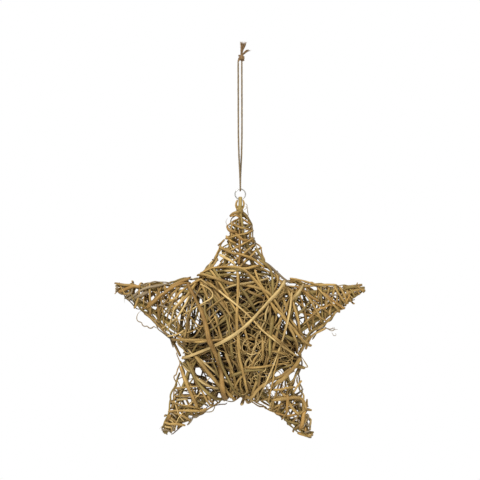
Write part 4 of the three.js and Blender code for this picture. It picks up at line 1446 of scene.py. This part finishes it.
@dataclass
class Hanger:
    """The steel ring, the eye that holds it, the jute twine and its knot."""

    ring_radius: float = 5.2
    wire_radius: float = 0.6
    ring_place: tuple[float, float, float] = (0.8, 0.0, 136.8)
    twine_diameter: float = 1.8
    ply_pitch: float = 5.5
    knot_girth: float = 1.25
    route: tuple[tuple[float, float, float], ...] = (
        (-1.8, 0, -0.3), (-1.75, 0, -20), (-1.7, 0, -40), (-1.66, 0, -60), (-1.59, -0.35, -75),
        (-1.23, -1.09, -90), (-0.75, -1.51, -100), (-0.23, -1.73, -110), (0.17, -1.8, -120),
        (0.3, -1.8, -128), (0.3, -1.27, -129.27), (0.3, 0, -129.8), (0.3, 1.27, -129.27),
        (0.3, 1.8, -128), (0.39, 1.8, -120), (0.74, 1.73, -110), (1.22, 1.51, -100),
        (1.65, 1.09, -90), (1.94, 0.35, -75), (1.94, 0, -60), (1.9, 0, -40), (1.85, 0, -20),
        (1.8, 0, -0.3),
    )

    def ring(self) -> bpy.types.Object:
        """Makes the wire ring."""
        bpy.ops.mesh.primitive_torus_add(
            major_segments=72,
            minor_segments=16,
            major_radius=self.ring_radius * MM,
            minor_radius=self.wire_radius * MM,
            rotation=(math.pi / 2, 0, 0),
        )
        ring = bpy.context.object
        ring.name = "wire_ring"
        place = (np.array(self.ring_place) + STAR_CENTRE) * MM
        ring.data.transform(ring.matrix_world)
        ring.matrix_world.identity()
        ring.rotation_euler = (0, 0, 0)
        for vertex in ring.data.vertices:
            vertex.co = vertex.co + Vector(place)
        ring.data.shade_smooth()
        return ring

    def eye(self) -> Strand:
        """The strap of split vine over the lower side of the ring."""
        x, _, height = self.ring_place
        bottom = height - self.ring_radius
        bend, leg = 2.2, 5.05
        points = [(x, -leg, bottom - 24), (x, -leg, 122), (x, -leg + 0.6, 126)]
        for step in range(9):
            turn = math.pi * step / 8
            points.append((x, -bend * math.cos(turn), bottom + bend * math.sin(turn)))
        points += [(x, leg - 0.6, 126), (x, leg, 122), (x, leg, bottom - 24)]
        line = spaced(rounded(np.array(points), 2), 1.0)
        return Strand(line, 0.78, Tone.OLIVE, 0.0, 3.0)

    def neck(self) -> Strand:
        """The thin vine wound round the lower ends of the strap."""
        points = []
        turns, steps = 4, 96
        for index in range(steps + 1):
            turn = 2 * math.pi * turns * index / steps
            low = 1 - index / steps
            across = 2.1 + 0.7 * low
            points.append((0.3 + across * math.cos(turn), 6.7 * math.sin(turn), 125.0 - 6.6 * low))
        return Strand(spaced(np.array(points), 1.0), 0.9, Tone.OLIVE, 0.0, 3.0)

    def plies(self, route: np.ndarray, diameter: float, rng: np.random.Generator) -> list[Strand]:
        """Three plies twisted round a route, with stray fibres.

        Args:
            route: The points of the twine's middle.
            diameter: The twine's diameter.
            rng: The source of its irregularities.

        Returns:
            The strands.
        """
        line = spaced(rounded(route, 2), 0.7)
        normal, side = VineMesher().frames(line)
        along = along_line(line)
        radius = 0.28 * diameter
        made = []
        for number in range(3):
            turn = 2 * np.pi * (along / self.ply_pitch + number / 3)
            offset = np.cos(turn)[:, None] * normal + np.sin(turn)[:, None] * side
            ply = line + (diameter / 2 - radius) * offset
            made.append(Strand(ply, radius, Tone.JUTE, 0.0, 3.0))
        for _ in range(int(along[-1] / 1.6)):
            at = int(rng.integers(2, len(line) - 8))
            turn = rng.uniform(0, 2 * np.pi)
            spread = np.linspace(0.75, rng.uniform(1.05, 1.7), 5)[:, None] * diameter / 2
            stretch = line[at : at + 5]
            turns = (turn + np.linspace(0, 0.9, 5))[:, None]
            offset = np.cos(turns) * normal[at : at + 5] + np.sin(turns) * side[at : at + 5]
            made.append(Strand(stretch + spread * offset, 0.06, Tone.PALE, 0.0, 3.0, blunt=False))
        return made

    def knot(self, rng: np.random.Generator) -> list[Strand]:
        """The overhand knot above the hanging point and its three frayed tails."""
        wraps = []
        turns, steps = 2.6, 63
        for index in range(steps + 1):
            turn = 2 * math.pi * turns * index / steps
            z = 0.6 + 4.4 * index / steps + 0.5 * math.sin(turn * 0.5)
            wraps.append((1.4 + 2.3 * math.cos(turn), 1.8 * math.sin(turn), z))
        lines = (
            ((-1.8, 0, -0.4), (-1.0, -0.2, 1.4), (0.3, 0.3, 3.4), (1.2, 0.2, 5.0), (1.6, 0, 7.0)),
            ((1.8, 0, -0.4), (1.7, 0.3, 1.4), (1.0, -0.3, 3.6), (1.7, -0.2, 5.2), (3.0, 0, 6.4)),
            wraps,
        )
        made = []
        for line in lines:
            made.extend(self.plies(np.array(line), self.knot_girth * self.twine_diameter, rng))
        spread = 1.5
        tails = (
            (((1.6, 0, 5.0), (1.6, 0, 9.0), (2.0, 0, 13.0), (1.4, 0, 20.0)), 80),
            (((1.6, 0, 6.0), (1.8, 0, 9.0), (3.2, 0, 13.0), (5.8, 0, 19.5)), 80),
            (((2.4, 0, 6.0), (4.4, 0, 8.2), (6.6, 0, 10.0), (9.6, 0, 11.0)), 90),
        )
        for tail, fibres in tails:
            line = spaced(rounded(np.array(tail), 2), 0.8)
            share = np.linspace(0, 1, len(line))[:, None]
            for _ in range(fibres):
                drift = rng.normal(0, 1, 3) * np.array([1.0, 0.8, 0.5])
                wave = 0.18 * np.sin(share * 9 + rng.uniform(0, 6.28, 3))
                fibre = line + drift * (0.42 + spread * share**1.6 * 0.45) + wave
                cut = max(int(len(fibre) * rng.uniform(0.82, 1.0)), 4)
                made.append(Strand(fibre[:cut], 0.2, Tone.JUTE, 0.0, 3.0, blunt=False))
        for strand in made:
            strand.line = strand.line - STAR_CENTRE
            strand.tone = Tone.KNOT
        return made


@dataclass(frozen=True)
class PackedLook:
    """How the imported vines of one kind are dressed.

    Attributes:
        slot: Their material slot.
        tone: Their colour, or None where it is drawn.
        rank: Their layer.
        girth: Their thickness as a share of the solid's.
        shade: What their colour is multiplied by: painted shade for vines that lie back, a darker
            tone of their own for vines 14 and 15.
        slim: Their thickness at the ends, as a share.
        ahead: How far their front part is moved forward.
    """

    slot: Slot
    tone: Tone | None
    rank: float
    girth: float = 0.86
    shade: float = 0.85
    slim: float = 1.0
    ahead: float = 0.0


# Shade below 1 is painted shade that sets the packed vines back behind the traced ones, and the
# inner ones take the dark tone as painted shade of the star's inside; vines 14 and 15 are darkened
# to a tone of their own.
PACKED_LOOKS = {
    "rod": PackedLook(Slot.FRAME, Tone.OLIVE, 0.05, 1.0, 1.0, slim=0.5),
    "inner": PackedLook(Slot.INNER, Tone.DARK, 0.0),
    "arm": PackedLook(Slot.WINDING, Tone.TAN, 0.2, 0.72),
    "body_vine_14": PackedLook(Slot.WINDING, Tone.PALE, 2.4, 0.92, 0.84, ahead=2.4),
    "body_vine_15": PackedLook(Slot.WINDING, Tone.ORANGE, 2.2, 0.92, 0.84, ahead=2.4),
    "body": PackedLook(Slot.WINDING, None, 0.3),
}
BODY_RANK_STEP = 0.04
FORWARD_OVER = 15.0
ARM_DRAWN_IN = 0.86
OUTER_LAYER = 0.8
INNER_UP_TO = 0.3
MIDDLE_UP_TO = 0.6
NARROW_TIP = 8


@dataclass
class Ornament:
    """Gathers all strands, lets them settle and makes the pieces."""

    frame: dict
    rng: np.random.Generator
    shape: StarShape = field(default_factory=StarShape)
    body_vines: int = 50
    curls: int = 150

    def pick(self, tones: tuple[tuple[Tone, float], ...]) -> Tone:
        """Draws a tone by its share."""
        shares = np.array([share for _, share in tones])
        return tones[int(self.rng.choice(len(tones), p=shares / shares.sum()))][0]

    def cad_bundles(self) -> list[Bundle]:
        """Makes one bundle per packed vine."""
        reader = CadVines(self.frame["nodes"])
        bundles = []
        for name in self.frame["nodes"]:
            kind = next((part for part in PACKED_LOOKS if part in name), None)
            if kind is None:
                continue
            look = PACKED_LOOKS[kind]
            tone, rank = look.tone, look.rank
            if name.startswith("body"):
                drawn = self.pick(WINDING_TONES)
                if tone is None:
                    tone, rank = drawn, rank + BODY_RANK_STEP * int(name.rsplit("_", 1)[1])
            strand = reader.strand(name, tone, rank, self.rng)
            strand.radius *= look.girth
            strand.shade, strand.slim = look.shade, look.slim
            if kind == "arm":
                strand.line = self.drawn_in(strand.line, ARM_DRAWN_IN)
            if look.ahead:
                forward = np.clip(-strand.line[:, 1] / FORWARD_OVER, 0, 1)
                strand.line[:, 1] -= look.ahead * forward
            bundles.append(Bundle(f"{name}_stem", look.slot, [strand], (name,), 9))
        return bundles

    def drawn_in(self, line: np.ndarray, share: float) -> np.ndarray:
        """An arm's vine with its turns drawn in towards the middle line of the arm."""
        middle = line.mean(axis=0)
        turn = np.degrees(np.arctan2(middle[2], middle[0]))
        arm = min(self.shape.arms, key=lambda each: abs(turn_between(each.angle, turn)))
        along, _ = arm_axes(arm.angle)
        forward = (line @ along)[:, None] * along
        return forward + share * (line - forward)

    def windings(self) -> list[Bundle]:
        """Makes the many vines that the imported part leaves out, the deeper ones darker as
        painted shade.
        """
        winder = Winder(self.shape, self.rng)
        inner = Bundle("inner_windings", Slot.INNER, sides=6)
        middle = Bundle("middle_windings", Slot.WINDING, sides=7)
        outer = Bundle("outer_windings", Slot.WINDING, sides=8)
        for index in range(self.body_vines):
            layer = OUTER_LAYER * (index + 0.5) / self.body_vines
            radius = self.rng.uniform(0.35, 0.75) + 0.45 * layer
            tone = self.pick(SHADED_INNER_TONES if layer < MIDDLE_UP_TO else WINDING_TONES)
            strand = winder.body_vine(int(self.rng.integers(4, 7)), layer, radius, tone)
            # Painted shade: the deeper the layer, the darker its colour.
            strand.shade = 0.27 + 0.6 * layer
            target = inner if layer < INNER_UP_TO else middle if layer < MIDDLE_UP_TO else outer
            target.strands.append(strand)
        arms = Bundle("arm_windings", Slot.WINDING, sides=6)
        runners = Bundle("arm_runners", Slot.WINDING, sides=6)
        for arm in self.shape.arms:
            for index in range(2):
                layer = 0.4 + 0.3 * index
                hand = 1 if index % 2 else -1
                span = (self.rng.uniform(0.9, 0.97), self.rng.uniform(0.38, 0.5))
                lean = self.rng.uniform(-0.5, 0.5)
                radius = self.rng.uniform(0.4, 0.85)
                turns = self.rng.uniform(1.2, 2.3)
                tone = self.pick(WINDING_TONES)
                wound = winder.arm_helix(arm, turns, span, lean, hand, layer, radius, tone)
                arms.strands.append(wound)
            for index in range(8):
                side = BACK if index % 2 else FRONT
                radius = self.rng.uniform(0.4, 0.95)
                tone = self.pick(WINDING_TONES)
                if index < 4:
                    strand = winder.arm_edge(arm, -1 if index < 2 else 1, radius, tone)
                else:
                    strand = winder.arm_runner(arm, side, radius, tone, 0.3 + 0.08 * index)
                runners.strands.append(strand)
            if arm.tip < NARROW_TIP:
                for hand, layer in ((1, 0.9), (-1, 0.75)):
                    tone = self.pick(WINDING_TONES)
                    tip = winder.arm_helix(arm, 2.6, (0.965, 0.83), 0.7, hand, layer, 0.85, tone)
                    arms.strands.append(tip)
        laid = FrontStrands(self.shape)
        front = Bundle("front_strands", Slot.WINDING, laid.strands(), sides=9)
        back = Bundle("back_strands", Slot.WINDING, laid.behind(self.rng), sides=7)
        return [inner, middle, outer, arms, runners, front, back]

    def dress(self) -> None:
        """Builds every piece of the ornament."""
        mesher = VineMesher()
        packed = self.cad_bundles()
        wound = self.windings()
        settled = [strand for bundle in packed + wound for strand in bundle.strands]
        log.info("settling %d strands, %d points", len(settled), sum(len(s.line) for s in settled))
        Settling().run(settled, self.shape)
        loose = Bundle("loose_ends", Slot.WINDING, LooseEnds().strands(), sides=6)
        curls = Curls(self.shape, self.rng).strands(self.curls)
        fine = Bundle("curly_fibres", Slot.WINDING, curls, sides=4)
        fibres = fibre_group()
        finishes = {
            Slot.FRAME: VineFinish("frame_vine").make(fibres),
            Slot.WINDING: VineFinish("winding_vine").make(fibres),
            Slot.INNER: VineFinish("inner_vine", bark=1.0).make(fibres),
            Slot.JUTE: VineFinish("jute_twine", bark=0.1, rough=0.85, streaks=0.5).make(fibres),
            Slot.STEEL: SteelFinish().make(),
        }
        for bundle in packed + wound + [loose, fine]:
            self.add(bundle, mesher, finishes)
        self.hang(mesher, finishes)

    def add(
        self, bundle: Bundle, mesher: VineMesher, finishes: dict[Slot, bpy.types.Material]
    ) -> bpy.types.Object:
        """Makes the piece of a bundle and places it."""
        piece = mesher.build(bundle, self.rng)
        self.place(piece, bundle.slot, finishes[bundle.slot], bundle.replaces)
        return piece

    def place(
        self,
        piece: bpy.types.Object,
        slot: Slot,
        finish: bpy.types.Material,
        replaces: tuple[str, ...],
    ) -> None:
        """Gives a piece its finish and its place in the frame."""
        piece.data.materials.clear()
        piece.data.materials.append(finish)
        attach(piece, "root")
        if replaces:
            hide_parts(*replaces)

    def hang(self, mesher: VineMesher, finishes: dict[Slot, bpy.types.Material]) -> None:
        """Adds the ring, the eye and the twine."""
        hanger = Hanger()
        self.place(hanger.ring(), Slot.STEEL, finishes[Slot.STEEL], ("metal_ring",))
        strap = Bundle("split_vine_eye", Slot.WINDING, [hanger.eye()], ("hanging_eye",), 12)
        neck = Bundle("neck_winding", Slot.WINDING, [hanger.neck()], sides=9)
        self.add(neck, mesher, finishes)
        eye_mesher = VineMesher(wobble=0.04, knuckle=0.0, ribbon=2.1, end_taper=0.9)
        self.add(strap, eye_mesher, finishes)
        route = np.array(hanger.route, float)
        plies = hanger.plies(route, hanger.twine_diameter, self.rng)
        for strand in plies:
            strand.line = strand.line - STAR_CENTRE
        twine = Bundle("jute_loop", Slot.JUTE, plies, ("twine_loop",), 6)
        fuzz = VineMesher(wobble=0.03, knuckle=0.0, flatten=0.0)
        loop = self.add(twine, fuzz, finishes)
        knot = Bundle("jute_knot", Slot.JUTE, hanger.knot(self.rng), ("twine_knot",), 6)
        tied = self.add(knot, fuzz, finishes)


def main() -> None:
    """Builds the star and dresses it."""
    logging.basicConfig(level=logging.INFO, format="%(message)s")
    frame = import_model()
    studio = Studio()
    studio.camera()
    ornament = Ornament(frame, np.random.default_rng(SEED))
    ornament.dress()
    Floor().build()
    studio.lights()
    bpy.context.view_layer.update()


if __name__ == "__main__":
    main()
